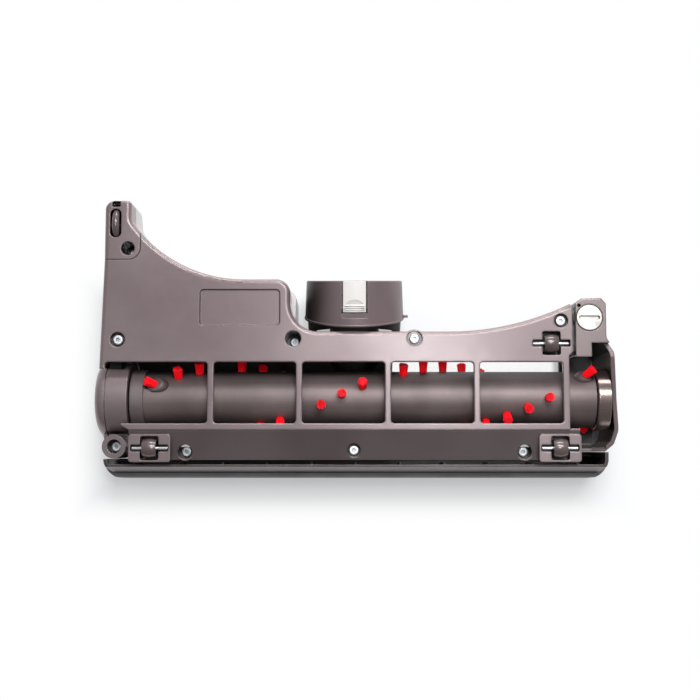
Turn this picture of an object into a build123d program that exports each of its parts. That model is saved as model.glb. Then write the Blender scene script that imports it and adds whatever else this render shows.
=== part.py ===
import math
import os

from build123d import *

os.makedirs("parts", exist_ok=True)

# Lying on its top, sole upwards: +X along the brush, +Y to the rear, Z = 0 is the table

# Sole and chamber
sole_z = 52.0
plate_t = 3.0
skirt_depth = 14.0
skirt_t = 2.4
sole_round = 2.4
seam_gap = 0.3
screw_head_r = 2.6
screw_shank_r = 1.4
screw_shank_l = 9.0

# Brush bar
bar_y = -33.3
bar_z = 31.5
bar_r = 15.35
bar_left = -113.9
bar_right = 129.0
bar_bore_r = 12.6
plug_l = 6.0
tuft_tip_r = 21.6
tuft_w = 5.0
tuft_pitch = 11.05
tuft_turn = 17.4
tuft_start_x = -7.5
tuft_start_angle = 7.7
chamber_clear = 1.8
cover_t = 2.0
cover_right = 116.6

# Windows of the sole
window_rear = -14.0
window_front = -46.6
window_left = -133.6
window_right = 110.1
bridge_xs = [-77.3, -30.3, 17.0, 64.3]
bridge_w = 3.3
window_r = 1.8

# Front strip of the sole
band_front = -49.9
strip_front = -66.0
strip_left = -120.5
strip_drop = 1.0
strip_fall = 5.5

# Rear outline of the sole
left_x = -136.9
arm_left_x = -135.0
arm_seam_y = 41.0
arm_inner_x = -115.65
arm_right_x = -120.9
arm_foot_y = 62.5
arm_tip_y = 73.4
arm_tip_r = 5.0
bay_rear_y = 30.6
sweep_x = -60.0
bay_right_x = -35.2
bay_corner_r = 7.5
bay_hollow_r = 15.0
mid_rear_y = 2.5
rise_x = 50.0
right_tip = (114.2, 17.3)
right_x = 115.3

# Wheels
wheel_r = 5.2
wheel_w = 7.4
wheel_proud = 2.5
axle_r = 0.9
axle_run = 0.06
axle_over = 5.2
front_wheel_y = -59.7
front_wheel_xs = [-109.4, 108.2]
rear_wheel_x = 104.1
rear_wheel_y = -4.0
well_clear = 1.2
block_top = 51.0
arm_wheel_x = -129.0
arm_wheel_y = 60.8
arm_wheel_r = 10.0
arm_wheel_w = 3.8

# Drive at the left end
hub_r = 16.4
hub_l = 7.6
drive_wall_x = -121.9
drive_wall_t = 2.6
drive_end_x = -139.6
drum_round = 5.0
lobe_wall = 2.6
lobe_top = 45.0
drum_r = 20.3
drive_shell_t = 2.0
shaft_r = 4.0
pulley_w = 7.0
big_pulley_r = 13.2
small_pulley_r = 5.5
belt_t = 1.2
belt_w = 6.0
motor_y = 11.5
motor_z = 26.0
motor_r = 14.5
motor_left = -108.0
motor_l = 56.0

# Neck
neck_x = -0.8
hinge_y = 0.0
neck_tilt = 11.0
cuff_r = 27.3
cuff_draft = 1.0
cuff_t = 3.5
cuff_start = 9.8
cuff_end = 34.4
neck_fit = 0.1
neck_t = 2.2
neck_start = 9.2
neck_end = 15.2
ear_t = 2.6
lug_gap = 0.25
lug_t = 2.6
lug_r = 5.0
pin_r = 2.2

# End cap and its fastener
coin_x = 124.5
coin_y = 9.7
coin_r = 6.9
bell_l = 7.2
bell_r = 17.0

# Worked out from these
chamber_r = tuft_tip_r + chamber_clear
cover_r = chamber_r + cover_t
cover_rear = bar_y + cover_r
cover_front = bar_y - cover_r
plate_z = sole_z - plate_t
skirt_z = sole_z - skirt_depth
wheel_axle_z = sole_z + wheel_proud - wheel_r
arm_axle_z = sole_z + wheel_proud - arm_wheel_r
strip_top = sole_z - strip_drop
strip_end_z = strip_top - strip_fall
strip_rib_z = wheel_axle_z - wheel_r - 2.0
drive_wall_left = drive_wall_x - drive_wall_t
pulley_x = drive_wall_left - 2.0 - pulley_w
hinge_z = cuff_r * math.cos(math.radians(neck_tilt)) - cuff_start * math.sin(math.radians(neck_tilt))
ring_r = cuff_r - cuff_t - neck_fit
ear_x = ring_r - 0.3
cradle_half = ear_x + lug_gap + lug_t
neck_dir = (0, math.cos(math.radians(neck_tilt)), math.sin(math.radians(neck_tilt)))
neck_plane = Plane(origin=(neck_x, hinge_y, hinge_z), x_dir=(1, 0, 0), z_dir=neck_dir)


def finish_part(made, label):
    made.part.label = label
    export_step(made.part, "parts/" + label + ".step")


def tube_x(x_from, x_to, y, z, radius, bore=0.0):
    # A rod or a tube that lies along X
    with BuildPart() as rod:
        with BuildSketch(Plane.YZ.offset(x_from)):
            with Locations((y, z)):
                Circle(radius)
                if bore:
                    Circle(bore, mode=Mode.SUBTRACT)
        extrude(amount=x_to - x_from)
    return rod.part


def prism_z(x_from, x_to, y_from, y_to, z_from, z_to, corner=0.0):
    # An upright block with rounded corners in plan
    with BuildPart() as block:
        with BuildSketch(Plane.XY.offset(z_from)):
            with Locations(((x_from + x_to) / 2, (y_from + y_to) / 2)):
                if corner:
                    RectangleRounded(x_to - x_from, y_to - y_from, corner)
                else:
                    Rectangle(x_to - x_from, y_to - y_from)
        extrude(amount=z_to - z_from)
    return block.part


def post_z(x, y, z_from, z_to, radius):
    with BuildPart() as post:
        with BuildSketch(Plane.XY.offset(z_from)):
            with Locations((x, y)):
                Circle(radius)
        extrude(amount=z_to - z_from)
    return post.part


def chamber_block(radius, x_from, x_to, z_top):
    # The room round the brush: half a cylinder below the bar, upright walls above it
    with BuildPart() as block:
        with BuildSketch(Plane.YZ.offset(x_from)):
            with Locations((bar_y, bar_z)):
                Circle(radius)
            with Locations((bar_y, bar_z)):
                Rectangle(2 * radius, z_top - bar_z, align=(Align.CENTER, Align.MIN))
        extrude(amount=x_to - x_from)
        split(bisect_by=Plane.XY.offset(z_top), keep=Keep.BOTTOM)
    return block.part


def sole_face():
    # Plan outline of the sole with its rear arm, from the left edge round the rear to the front
    bay_mid = bay_corner_r * (1 - math.sqrt(0.5))
    hollow_mid = bay_hollow_r * (1 - math.sqrt(0.5))
    with BuildSketch() as face:
        with BuildLine():
            Polyline(
                (left_x, -17.5),
                (arm_left_x, arm_seam_y),
                (arm_left_x, arm_tip_y),
                (arm_right_x, arm_tip_y),
                (arm_right_x, arm_foot_y),
            )
            TangentArc((sweep_x, bay_rear_y), (arm_right_x, arm_foot_y), tangent=(-1, 0))
            Line((sweep_x, bay_rear_y), (bay_right_x - bay_corner_r, bay_rear_y))
            ThreePointArc(
                (bay_right_x - bay_corner_r, bay_rear_y),
                (bay_right_x - bay_mid, bay_rear_y - bay_mid),
                (bay_right_x, bay_rear_y - bay_corner_r),
            )
            Line((bay_right_x, bay_rear_y - bay_corner_r), (bay_right_x, mid_rear_y + bay_hollow_r))
            ThreePointArc(
                (bay_right_x, mid_rear_y + bay_hollow_r),
                (bay_right_x + hollow_mid, mid_rear_y + hollow_mid),
                (bay_right_x + bay_hollow_r, mid_rear_y),
            )
            Line((bay_right_x + bay_hollow_r, mid_rear_y), (rise_x, mid_rear_y))
            TangentArc((rise_x, mid_rear_y), right_tip, tangent=(1, 0))
            Polyline(
                right_tip,
                (right_x, right_tip[1] - 1.2),
                (right_x, -8.5),
                (right_x - 2.0, -10.5),
                (right_x - 2.0, band_front),
                (strip_left, band_front),
                (strip_left - 4.0, window_front - 1.0),
                (left_x, -17.5),
            )
        make_face()
        fillet(face.vertices().sort_by_distance((arm_left_x, arm_tip_y))[0], arm_tip_r)
        fillet(face.vertices().sort_by_distance((arm_right_x, arm_tip_y))[0], arm_tip_r / 2)
        fillet(face.vertices().sort_by_distance((arm_right_x, arm_foot_y))[0], arm_tip_r)
    return face.sketch


def arm_zone(gap):
    # What lies beyond the seam of the arm's tip cover
    bend = 6.5 - gap
    seam_y = arm_seam_y + gap
    seam_x = arm_inner_x - gap
    with BuildPart() as zone:
        with BuildSketch(Plane.XY.offset(skirt_z - 2)):
            with BuildLine():
                Polyline((seam_x, seam_y + bend), (seam_x, 90), (left_x - 9, 90), (left_x - 9, seam_y))
                Line((left_x - 9, seam_y), (seam_x - bend, seam_y))
                TangentArc((seam_x - bend, seam_y), (seam_x, seam_y + bend), tangent=(1, 0))
            make_face()
        extrude(amount=skirt_depth + 4)
    return zone.part


# Wheel places: x, y, height of the face round the well
wheel_places = [
    (front_wheel_xs[0], front_wheel_y, block_top),
    (front_wheel_xs[1], front_wheel_y, block_top),
    (rear_wheel_x, rear_wheel_y, sole_z),
]

# Screw places: x, y, hole radius, depth of the head below the sole
sole_screws = [
    (-127.0, -2.1, 4.0, 1.0),
    (-33.5, -1.5, 4.3, 21.0),
    (31.2, -1.5, 4.3, 1.0),
    (109.3, 8.1, 3.8, 1.0),
    (-1.1, -60.7, 3.6, 6.0),
    (-91.1, -61.6, 3.9, 12.0),
    (90.0, -61.6, 3.9, 12.0),
]
cover_screws = [
    (-129.4, -58.8, 3.8, 14.0),
    (-122.3, 47.1, 3.7, 18.0),
]


def screw(x, y, head_z):
    # Pan head with a hexagon socket and its shank, head upwards
    with BuildPart() as one:
        with BuildSketch(Plane.XY.offset(head_z - 2.0)):
            with Locations((x, y)):
                Circle(screw_head_r)
        extrude(amount=2.0)
        fillet(one.faces().sort_by(Axis.Z)[-1].edges(), 0.7)
        with BuildSketch(Plane.XY.offset(head_z - 2.0)):
            with Locations((x, y)):
                Circle(screw_shank_r)
        extrude(amount=-screw_shank_l)
        with BuildSketch(Plane.XY.offset(head_z)):
            with Locations((x, y)):
                RegularPolygon(1.2, 6)
        extrude(amount=-1.2, mode=Mode.SUBTRACT)
    return one.part


# Soleplate: plate, skirt, front strip, screw bosses and wheel wells
window_edges = [window_left] + bridge_xs + [window_right + bridge_w / 2]
with BuildPart() as whole_sole:
    with BuildSketch(Plane.XY.offset(skirt_z)):
        add(sole_face())
    extrude(amount=skirt_depth)
    rear_edges = whole_sole.edges().group_by(Axis.Z)[-1].filter_by(
        lambda e: e.center().Y > window_rear and e.center().X < 110
    )
    fillet(rear_edges, sole_round)

with BuildPart() as soleplate:
    add(whole_sole.part)
    with BuildSketch(Plane.XY.offset(skirt_z)):
        add(sole_face())
        offset(amount=-skirt_t, mode=Mode.REPLACE)
    extrude(amount=skirt_depth - plate_t, mode=Mode.SUBTRACT)
    add(arm_zone(0.0), mode=Mode.SUBTRACT)
    # The skirt leaves room for the neck
    bay_end = bay_right_x + 4
    add(prism_z(bay_end, neck_x + cuff_r + 2, -6, mid_rear_y + 9, skirt_z, plate_z), mode=Mode.SUBTRACT)
    # Front strip, one step down from the band and falling towards the bumper
    with BuildSketch(Plane.YZ.offset(strip_left)):
        with BuildLine():
            Polyline(
                (band_front + 0.5, strip_top),
                (band_front, strip_top),
                (strip_front, strip_end_z),
                (strip_front, strip_end_z - plate_t),
                (band_front, strip_top - plate_t),
                (band_front + 0.5, strip_top - plate_t),
                close=True,
            )
        make_face()
    extrude(amount=front_wheel_xs[1] + wheel_w / 2 + axle_over + 1.6 - strip_left)
    # Windows between the bridges
    with BuildSketch(Plane.XY.offset(sole_z)):
        for left, right in zip(window_edges[:-1], window_edges[1:]):
            start = left if left == window_left else left + bridge_w / 2
            width = right - bridge_w / 2 - start
            with Locations((start + width / 2, (window_rear + window_front) / 2)):
                RectangleRounded(width, window_rear - window_front, window_r)
    extrude(amount=-skirt_depth, mode=Mode.SUBTRACT)
    window_rims = (
        soleplate.edges()
        .group_by(Axis.Z)[-1]
        .filter_by(lambda e: window_front - 0.1 < e.center().Y < window_rear + 0.1)
        .filter_by(lambda e: e.center().X < window_right + 1)
    )
    fillet(window_rims, 0.5)
    # The belt cover takes the sole's front left corner
    add(prism_z(left_x - 8, strip_left - 4.0, window_front - 9, -17.5, skirt_z, sole_z), mode=Mode.SUBTRACT)
    # Nothing hangs below the plate where the chamber cover stands
    add(
        prism_z(left_x - 1, right_x + 1.0, strip_front, cover_rear + seam_gap, skirt_z - 1, strip_rib_z),
        mode=Mode.SUBTRACT,
    )
    add(
        prism_z(left_x - 1, right_x + 1.0, band_front, cover_rear + seam_gap, strip_rib_z, plate_z),
        mode=Mode.SUBTRACT,
    )
    # Rib that meets the front edge of the chamber cover
    rib_right = front_wheel_xs[1] + wheel_w / 2
    add(prism_z(strip_left, rib_right, cover_front, cover_front + cover_t, strip_rib_z, strip_end_z))
    # Screw bosses, trimmed where the chamber cover passes
    for x, y, radius, depth in sole_screws:
        foot = min(sole_z - depth - 2.0 - 2.5, plate_z - 3)
        boss = post_z(x, y, foot, strip_end_z + 0.6 if y < bar_y else plate_z + 0.5, radius + 1.0)
        add(boss - chamber_block(cover_r + seam_gap, left_x, right_x, strip_rib_z if y < bar_y else plate_z))
    for x, y, radius, depth in sole_screws:
        add(post_z(x, y, sole_z - depth - 2.0, sole_z + 1, radius), mode=Mode.SUBTRACT)
        add(post_z(x, y, sole_z - depth - 12.0, sole_z + 1, screw_shank_r + 0.1), mode=Mode.SUBTRACT)
    # The deep boss leaves room for the neck's lug and pin
    lug_end = cradle_half + seam_gap
    add(tube_x(neck_x - lug_end, neck_x + lug_end, hinge_y, hinge_z, lug_r + seam_gap), mode=Mode.SUBTRACT)
    # Wheel wells with their axle slots
    for x, y, top in wheel_places:
        half_w = wheel_w / 2 + well_clear
        half_l = wheel_r + well_clear
        wall_l = half_l + 0.9
        slot_half = half_w + axle_over
        floor_z = wheel_axle_z - wheel_r - 0.5
        add(prism_z(x - half_w - 1, x + half_w + 1, y - wall_l, y + wall_l, floor_z - 1.2, top - 0.5))
        if y < bar_y:
            reach = slot_half + 1
            add(prism_z(x - reach, x + reach, y - wall_l, y + wall_l, floor_z - 1.2, top, 1.5))
        reach = slot_half + 0.4
        add(prism_z(x - reach, x + reach, y - 3.6, y + 3.6, wheel_axle_z - 2.2, top - 0.4))
        add(
            prism_z(x - half_w, x + half_w, y - half_l, y + half_l, floor_z, sole_z + 1, 1.2),
            mode=Mode.SUBTRACT,
        )
        slot_z = wheel_axle_z - axle_r
        add(
            prism_z(x - slot_half, x + slot_half, y - 1.9, y + 1.9, slot_z, sole_z + 1, 0.8),
            mode=Mode.SUBTRACT,
        )
    # Label recess, left bare
    with BuildSketch(Plane.XY.offset(sole_z)):
        with Locations((-62.0, 15.2)):
            RectangleRounded(42.6, 19.1, 2.0)
    extrude(amount=-0.5, mode=Mode.SUBTRACT)

finish_part(soleplate, "soleplate")

# Tip cover of the rear arm, with the slot of the large wheel
with BuildPart() as arm_tip_cover:
    add(whole_sole.part & arm_zone(seam_gap / 2))
    slot_w = arm_wheel_w + 2 * 1.1
    slot_l = 2 * math.sqrt(arm_wheel_r**2 - (sole_z - arm_axle_z) ** 2) + 2.4
    for depth, length in ((0.0, slot_l), (1.2, 2 * arm_wheel_r + 1.4)):
        with BuildSketch(Plane.XY.offset(sole_z - depth)):
            with Locations((arm_wheel_x, arm_wheel_y)):
                RectangleRounded(slot_w, length, slot_w / 2 - 0.1)
        extrude(amount=depth - skirt_depth, mode=Mode.SUBTRACT)
    add(tube_x(arm_wheel_x - 4.6, arm_wheel_x + 4.6, arm_wheel_y, arm_axle_z, axle_r), mode=Mode.SUBTRACT)
    # Slanted slot behind the wheel
    with BuildSketch(Plane.XY.offset(sole_z)):
        with Locations((arm_wheel_x + 0.2, arm_wheel_y + slot_l / 2 + 2.6)):
            RectangleRounded(4.6, 3.2, 0.8)
    extrude(amount=-4.0, mode=Mode.SUBTRACT)
    # Deep screw pocket that reaches below the skirt
    for x, y, radius, depth in cover_screws[1:]:
        seat = sole_z - depth - 2.0
        add(post_z(x, y, seat - 2.5, skirt_z + 1, radius + 1.0))
        add(post_z(x, y, seat, sole_z + 1, radius), mode=Mode.SUBTRACT)
        add(post_z(x, y, seat - 10.0, sole_z + 1, screw_shank_r + 0.1), mode=Mode.SUBTRACT)
finish_part(arm_tip_cover, "arm_tip_cover")

# Clear cover of the brush chamber
port_z = hinge_z
port_r = 14.0
cover_left = drive_wall_x + seam_gap
with BuildPart() as clear_chamber_cover:
    add(chamber_block(cover_r, cover_left, cover_right, plate_z))
    add(chamber_block(chamber_r, cover_left - 1, cover_right + 1, plate_z + 1), mode=Mode.SUBTRACT)
    # The front wall ends lower, under the rib of the sole
    add(
        prism_z(cover_left - 1, cover_right + 1, cover_front - 1, bar_y - chamber_r + 1, strip_rib_z, sole_z),
        mode=Mode.SUBTRACT,
    )
    # Suction port towards the neck
    with BuildSketch(Plane.XZ.offset(-cover_rear - 3)):
        with Locations((neck_x, port_z)):
            Circle(port_r)
    extrude(amount=3 - bar_y + cover_rear, mode=Mode.SUBTRACT)
    # Notch round the rear wheel's well
    well_half = wheel_w / 2 + well_clear + 1 + seam_gap
    well_front = rear_wheel_y - wheel_r - well_clear - 0.9 - seam_gap
    well_floor = wheel_axle_z - wheel_r - 1.7 - seam_gap
    slot_half = well_half + axle_over
    notch_rear = cover_rear + 1
    for half, inset in ((well_half, 0.0), (slot_half, 2.0)):
        low_x, high_x = rear_wheel_x - half, rear_wheel_x + half
        add(
            prism_z(low_x, high_x, well_front + inset, notch_rear, well_floor + inset, sole_z),
            mode=Mode.SUBTRACT,
        )
finish_part(clear_chamber_cover, "clear_chamber_cover")


def tuft_plane(x, angle, lean):
    # Stands on the bar's surface; the angle is measured from +Z towards +Y
    turn = math.radians(angle)
    out = (0, math.sin(turn), math.cos(turn))
    tilt = math.radians(lean)
    direction = (math.sin(tilt), out[1] * math.cos(tilt), out[2] * math.cos(tilt))
    across = (math.cos(tilt), -out[1] * math.sin(tilt), -out[2] * math.sin(tilt))
    foot_r = bar_r - 2.0
    foot = (x, bar_y + foot_r * out[1], bar_z + foot_r * out[2])
    return Plane(origin=foot, x_dir=across, z_dir=direction)


def tuft(x, angle, lean=0.0):
    length = (tuft_tip_r - bar_r) * (1.0 if lean == 0.0 else 1.25) + 2.0
    with BuildPart() as one:
        with BuildSketch(tuft_plane(x, angle, lean)):
            Circle(tuft_w * 0.38)
        with BuildSketch(tuft_plane(x, angle, lean).offset(length)):
            Circle(tuft_w * 0.5)
        loft()
    return one.part


def tuft_seat(x, angle, lean):
    # Round scoop in the bar behind a leaning tuft
    rise = 2.0 + seat_r * math.sin(math.radians(abs(lean))) - seat_depth
    with BuildPart() as seat:
        with BuildSketch(tuft_plane(x, angle, lean).offset(rise / math.cos(math.radians(lean)))):
            Circle(seat_r)
        extrude(amount=tuft_tip_r - bar_r)
    return seat.part


# Place, angle and lean of the tufts at the bar's two ends
end_tufts = [(bar_left + 9.0, 28.0, -50.0), (bar_right - 7.5, 50.0, 42.0)]
seat_r = 4.0
seat_depth = 1.2


# Tufts stand in two rows that wind round the bar, and none passes under a bridge of the sole
def row_tufts(half_turn):
    tufts = []
    for step in range(-8, 12):
        x = tuft_start_x + step * tuft_pitch
        nearest = min(abs(x - bridge) for bridge in bridge_xs + [window_right + bridge_w / 2])
        if nearest > bridge_w / 2 + tuft_w / 2 + 0.3:
            tufts.append(tuft(x, tuft_start_angle + step * tuft_turn + half_turn))
    for x, angle, lean in end_tufts:
        tufts.append(tuft(x, angle + half_turn, lean))
    return tufts


row_a = row_tufts(0.0)
row_b = row_tufts(180.0)

# Brush bar: a tube with a plug at each end that carries its stub shaft
with BuildPart() as brush_core:
    add(tube_x(bar_left, bar_right, bar_y, bar_z, bar_r, bar_bore_r))
    for x, angle, lean in end_tufts:
        for half_turn in (0.0, 180.0):
            add(tuft_seat(x, angle + half_turn, lean), mode=Mode.SUBTRACT)
    for one in row_a + row_b:
        add(one, mode=Mode.SUBTRACT)
finish_part(brush_core, "brush_core")

for label, row in (("bristle_row_a", row_a), ("bristle_row_b", row_b)):
    with BuildPart() as bristles:
        for one in row:
            add(one)
    finish_part(bristles, label)

with BuildPart() as drive_hub:
    add(tube_x(bar_left - hub_l, bar_left, bar_y, bar_z, hub_r))
    fillet(drive_hub.edges().filter_by(GeomType.CIRCLE), 0.8)
    add(tube_x(bar_left, bar_left + plug_l, bar_y, bar_z, bar_bore_r))
    add(tube_x(pulley_x, bar_left - hub_l, bar_y, bar_z, shaft_r))
finish_part(drive_hub, "drive_hub")

with BuildPart() as end_plug:
    add(tube_x(bar_right - plug_l, bar_right - 0.8, bar_y, bar_z, bar_bore_r))
    add(tube_x(bar_right - 0.8, bar_right + bell_l, bar_y, bar_z, shaft_r))
finish_part(end_plug, "end_plug")


def toothed_pulley(x_from, width, y, z, radius, teeth, bore):
    with BuildPart() as pulley:
        with BuildSketch(Plane.YZ.offset(x_from)):
            with Locations((y, z)):
                Circle(radius)
                with PolarLocations(radius, teeth):
                    Circle(0.45 * math.pi * radius / teeth, mode=Mode.SUBTRACT)
                Circle(bore, mode=Mode.SUBTRACT)
        extrude(amount=width)
    return pulley.part


belt_run = 0.05
with BuildPart() as brush_pulley:
    add(toothed_pulley(pulley_x, pulley_w, bar_y, bar_z, big_pulley_r, 24, shaft_r))
finish_part(brush_pulley, "brush_pulley")

# Drive belt: a flat loop round both pulleys
belt_centres = [(bar_y, bar_z, big_pulley_r + belt_run), (motor_y, motor_z, small_pulley_r + belt_run)]
with BuildPart() as drive_belt:
    with BuildSketch(Plane.YZ.offset(pulley_x + (pulley_w - belt_w) / 2)):
        for grow, mode in ((belt_t, Mode.ADD), (0.0, Mode.SUBTRACT)):
            with BuildSketch(mode=Mode.PRIVATE) as loop:
                for y, z, radius in belt_centres:
                    with Locations((y, z)):
                        Circle(radius + grow)
                make_hull()
            add(loop.sketch, mode=mode)
    extrude(amount=belt_w)
finish_part(drive_belt, "drive_belt")

# Bearing of the drive hub, in the wall beside the belt
with BuildPart() as drive_bearing:
    add(tube_x(drive_wall_left + 0.1, drive_wall_x - 0.1, bar_y, bar_z, 8.0, shaft_r + 0.05))
finish_part(drive_bearing, "drive_bearing")

# Belt cover: drum round the pulley on a foot that stands on the table
drive_rear = cover_rear
foot_front = bar_y - drum_r - 5.0


def drive_shell(inset, x_from, x_to, rounding):
    with BuildPart() as shell:
        with BuildSketch(Plane.YZ.offset(x_from)):
            with Locations((bar_y, bar_z)):
                Circle(drum_r - inset)
            with BuildSketch(mode=Mode.PRIVATE) as foot:
                with BuildLine():
                    Polyline(
                        (foot_front + inset, inset),
                        (drive_rear, inset),
                        (drive_rear, skirt_z - seam_gap - inset),
                        (bar_y, skirt_z - seam_gap - inset),
                        (bar_y - drum_r * 0.8 + inset, bar_z + drum_r * 0.55 - inset),
                        (foot_front + inset, bar_z * 0.7),
                        close=True,
                    )
                make_face()
                fillet(foot.vertices().sort_by_distance((foot_front, 0))[0], 12.0 - inset)
                fillet(foot.vertices().sort_by_distance((foot_front, bar_z * 0.7))[0], 6.0)
            add(foot.sketch)
        extrude(amount=x_to - x_from)
        if rounding:
            fillet(shell.faces().sort_by(Axis.X)[0].edges(), rounding)
    return shell.part


with BuildPart() as belt_cover:
    add(drive_shell(0.0, drive_end_x, drive_wall_x, drum_round))
    x, y, radius, depth = cover_screws[0]
    lobe_r = radius + lobe_wall
    add(prism_z(x - lobe_r, x + lobe_r, y, bar_y, 18.0, bar_z + 8.0))
    # Groove round the drum
    groove_x = drive_end_x + drum_round + 0.6
    add(tube_x(groove_x, groove_x + 0.7, bar_y, bar_z, drum_r + 3.0, drum_r - 0.5), mode=Mode.SUBTRACT)
    add(drive_shell(drive_shell_t, drive_end_x + drive_shell_t, drive_wall_left, 0.0), mode=Mode.SUBTRACT)
    # Way of the belt to the rear
    add(
        prism_z(drive_end_x + drive_shell_t, drive_wall_left, -17.0, drive_rear + 1, drive_shell_t, sole_z),
        mode=Mode.SUBTRACT,
    )
    add(
        prism_z(drive_end_x + drive_shell_t + 4, drive_wall_left, bar_y, drive_rear + 1, bar_z, skirt_z + 6),
        mode=Mode.SUBTRACT,
    )
    add(tube_x(drive_wall_left - 1, drive_wall_x + 1, bar_y, bar_z, 8.0 + 0.02), mode=Mode.SUBTRACT)
    # Screw lobe at the front
    add(post_z(x, y, 18.0, lobe_top, lobe_r))
    add(post_z(x, y, sole_z - depth - 2.0, lobe_top + 1, radius), mode=Mode.SUBTRACT)
    add(post_z(x, y, sole_z - depth - 12.0, lobe_top, screw_shank_r + 0.1), mode=Mode.SUBTRACT)
finish_part(belt_cover, "belt_cover")

# Top cover of the motor bay and its arm; its flat back stands on the table
bay_z = skirt_z - seam_gap
bay_t = 2.2
bay_bulge = 2.5
arm_rise = 22.0
arm_slope_y = bay_rear_y + 1.5


def bay_face():
    with BuildSketch() as face:
        add(sole_face())
        with Locations((bay_right_x, 0)):
            Rectangle(200.0, 200.0, align=(Align.MIN, Align.CENTER), mode=Mode.SUBTRACT)
        with Locations((0, cover_rear + seam_gap)):
            Rectangle(400.0, 200.0, align=(Align.CENTER, Align.MAX), mode=Mode.SUBTRACT)
    return face.sketch


def arm_wedge(lift):
    # What the arm's sloping back leaves out
    with BuildPart() as wedge:
        with BuildSketch(Plane.YZ.offset(left_x - 5)):
            with BuildLine():
                Polyline(
                    (arm_slope_y, -5),
                    (arm_slope_y, lift),
                    (arm_tip_y + 2, arm_rise + lift),
                    (arm_tip_y + 2, -5),
                    close=True,
                )
            make_face()
        extrude(amount=bay_right_x - left_x + 10)
    return wedge.part


with BuildPart() as bay_room:
    with BuildSketch(Plane.XY.offset(bay_t)):
        add(bay_face())
        offset(amount=-bay_t, mode=Mode.REPLACE)
    extrude(amount=bay_z)
    add(arm_wedge(bay_t), mode=Mode.SUBTRACT)

with BuildPart() as motor_cover:
    with BuildSketch():
        add(bay_face())
    extrude(amount=bay_z)
    fillet(motor_cover.faces().sort_by(Axis.Z)[0].edges(), 5.0)
    add(arm_wedge(0.0), mode=Mode.SUBTRACT)
    bulge_x = bay_right_x - 8.0
    add(prism_z(bulge_x, bay_right_x + bay_bulge, 8.5, bay_rear_y - 5.0, 5.0, bay_z, 4.0))
    add(bay_room.part, mode=Mode.SUBTRACT)
    # Wall set back round the deep screw boss of the sole
    notch_x = bay_right_x - 4.0
    notch_y = 4.5
    add(
        prism_z(notch_x - bay_t, bay_right_x, cover_rear + seam_gap, notch_y + bay_t, bay_t / 2, bay_z),
    )
    add(
        prism_z(notch_x, bay_right_x + 1, cover_rear - 1, notch_y, -1, bay_z + 1),
        mode=Mode.SUBTRACT,
    )
    # Way of the belt to the brush
    add(
        prism_z(pulley_x - 1.5, pulley_x + pulley_w + 1.5, cover_rear, -4.0, 8.0, bay_z + 1),
        mode=Mode.SUBTRACT,
    )
finish_part(motor_cover, "motor_cover")

# Motor with its shaft and pulley, held by two straps under the sole
with BuildPart() as motor_body:
    add(tube_x(motor_left, motor_left + motor_l, motor_y, motor_z, motor_r))
    fillet(motor_body.edges().filter_by(GeomType.CIRCLE), 1.5)
    add(tube_x(motor_left - 2.5, motor_left + motor_l + 2.5, motor_y, motor_z, 6.0))
    add(tube_x(motor_left - 3.0, motor_left + 9.0, motor_y, motor_z, 2.05), mode=Mode.SUBTRACT)
finish_part(motor_body, "motor_body")

with BuildPart() as motor_shaft:
    add(tube_x(pulley_x + 0.3, motor_left + 8.5, motor_y, motor_z, 2.0))
finish_part(motor_shaft, "motor_shaft")

with BuildPart() as motor_pulley:
    add(toothed_pulley(pulley_x, pulley_w, motor_y, motor_z, small_pulley_r, 10, 2.0))
finish_part(motor_pulley, "motor_pulley")

strap_w = 8.0
with BuildPart() as motor_bracket:
    for x in (motor_left + 8.0, motor_left + motor_l - 16.0):
        add(tube_x(x, x + strap_w, motor_y, motor_z, motor_r + 1.7, motor_r - 1.0))
        add(prism_z(x, x + strap_w, motor_y - 8, motor_y + 8, motor_z + 8, plate_z))
    tab_left, tab_right = motor_left + 8.0, motor_left + motor_l - 8.0
    add(prism_z(tab_left, tab_right, motor_y - 8, motor_y - 5, motor_z + 12, plate_z))
    add(tube_x(motor_left, motor_left + motor_l, motor_y, motor_z, motor_r), mode=Mode.SUBTRACT)
finish_part(motor_bracket, "motor_bracket")

# Control board in the arm, with its terminal block
board_x = arm_left_x + bay_t + 1.8
board_y = arm_seam_y - 7.0
board_w = 14.0
board_t = 1.6
with BuildPart() as circuit_board:
    add(prism_z(board_x, board_x + board_w, board_y, board_y + board_t, skirt_z / 2, plate_z))
finish_part(circuit_board, "circuit_board")

block_w = 12.0
block_h = 10.0
block_t = 5.0
block_z = skirt_z / 2 + 4.0
with BuildPart() as terminal_block:
    add(prism_z(board_x + 1, board_x + 1 + block_w, board_y - block_t, board_y, block_z, block_z + block_h))
    with BuildSketch(Plane.XZ.offset(block_t - board_y)):
        with Locations((board_x + 1 + block_w / 2, block_z + block_h / 2)):
            with GridLocations(block_w * 0.3, 1.0, 3, 1):
                Rectangle(block_w * 0.18, block_h / 2)
    extrude(amount=-0.6 * block_t, mode=Mode.SUBTRACT)
finish_part(terminal_block, "terminal_block")

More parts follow.
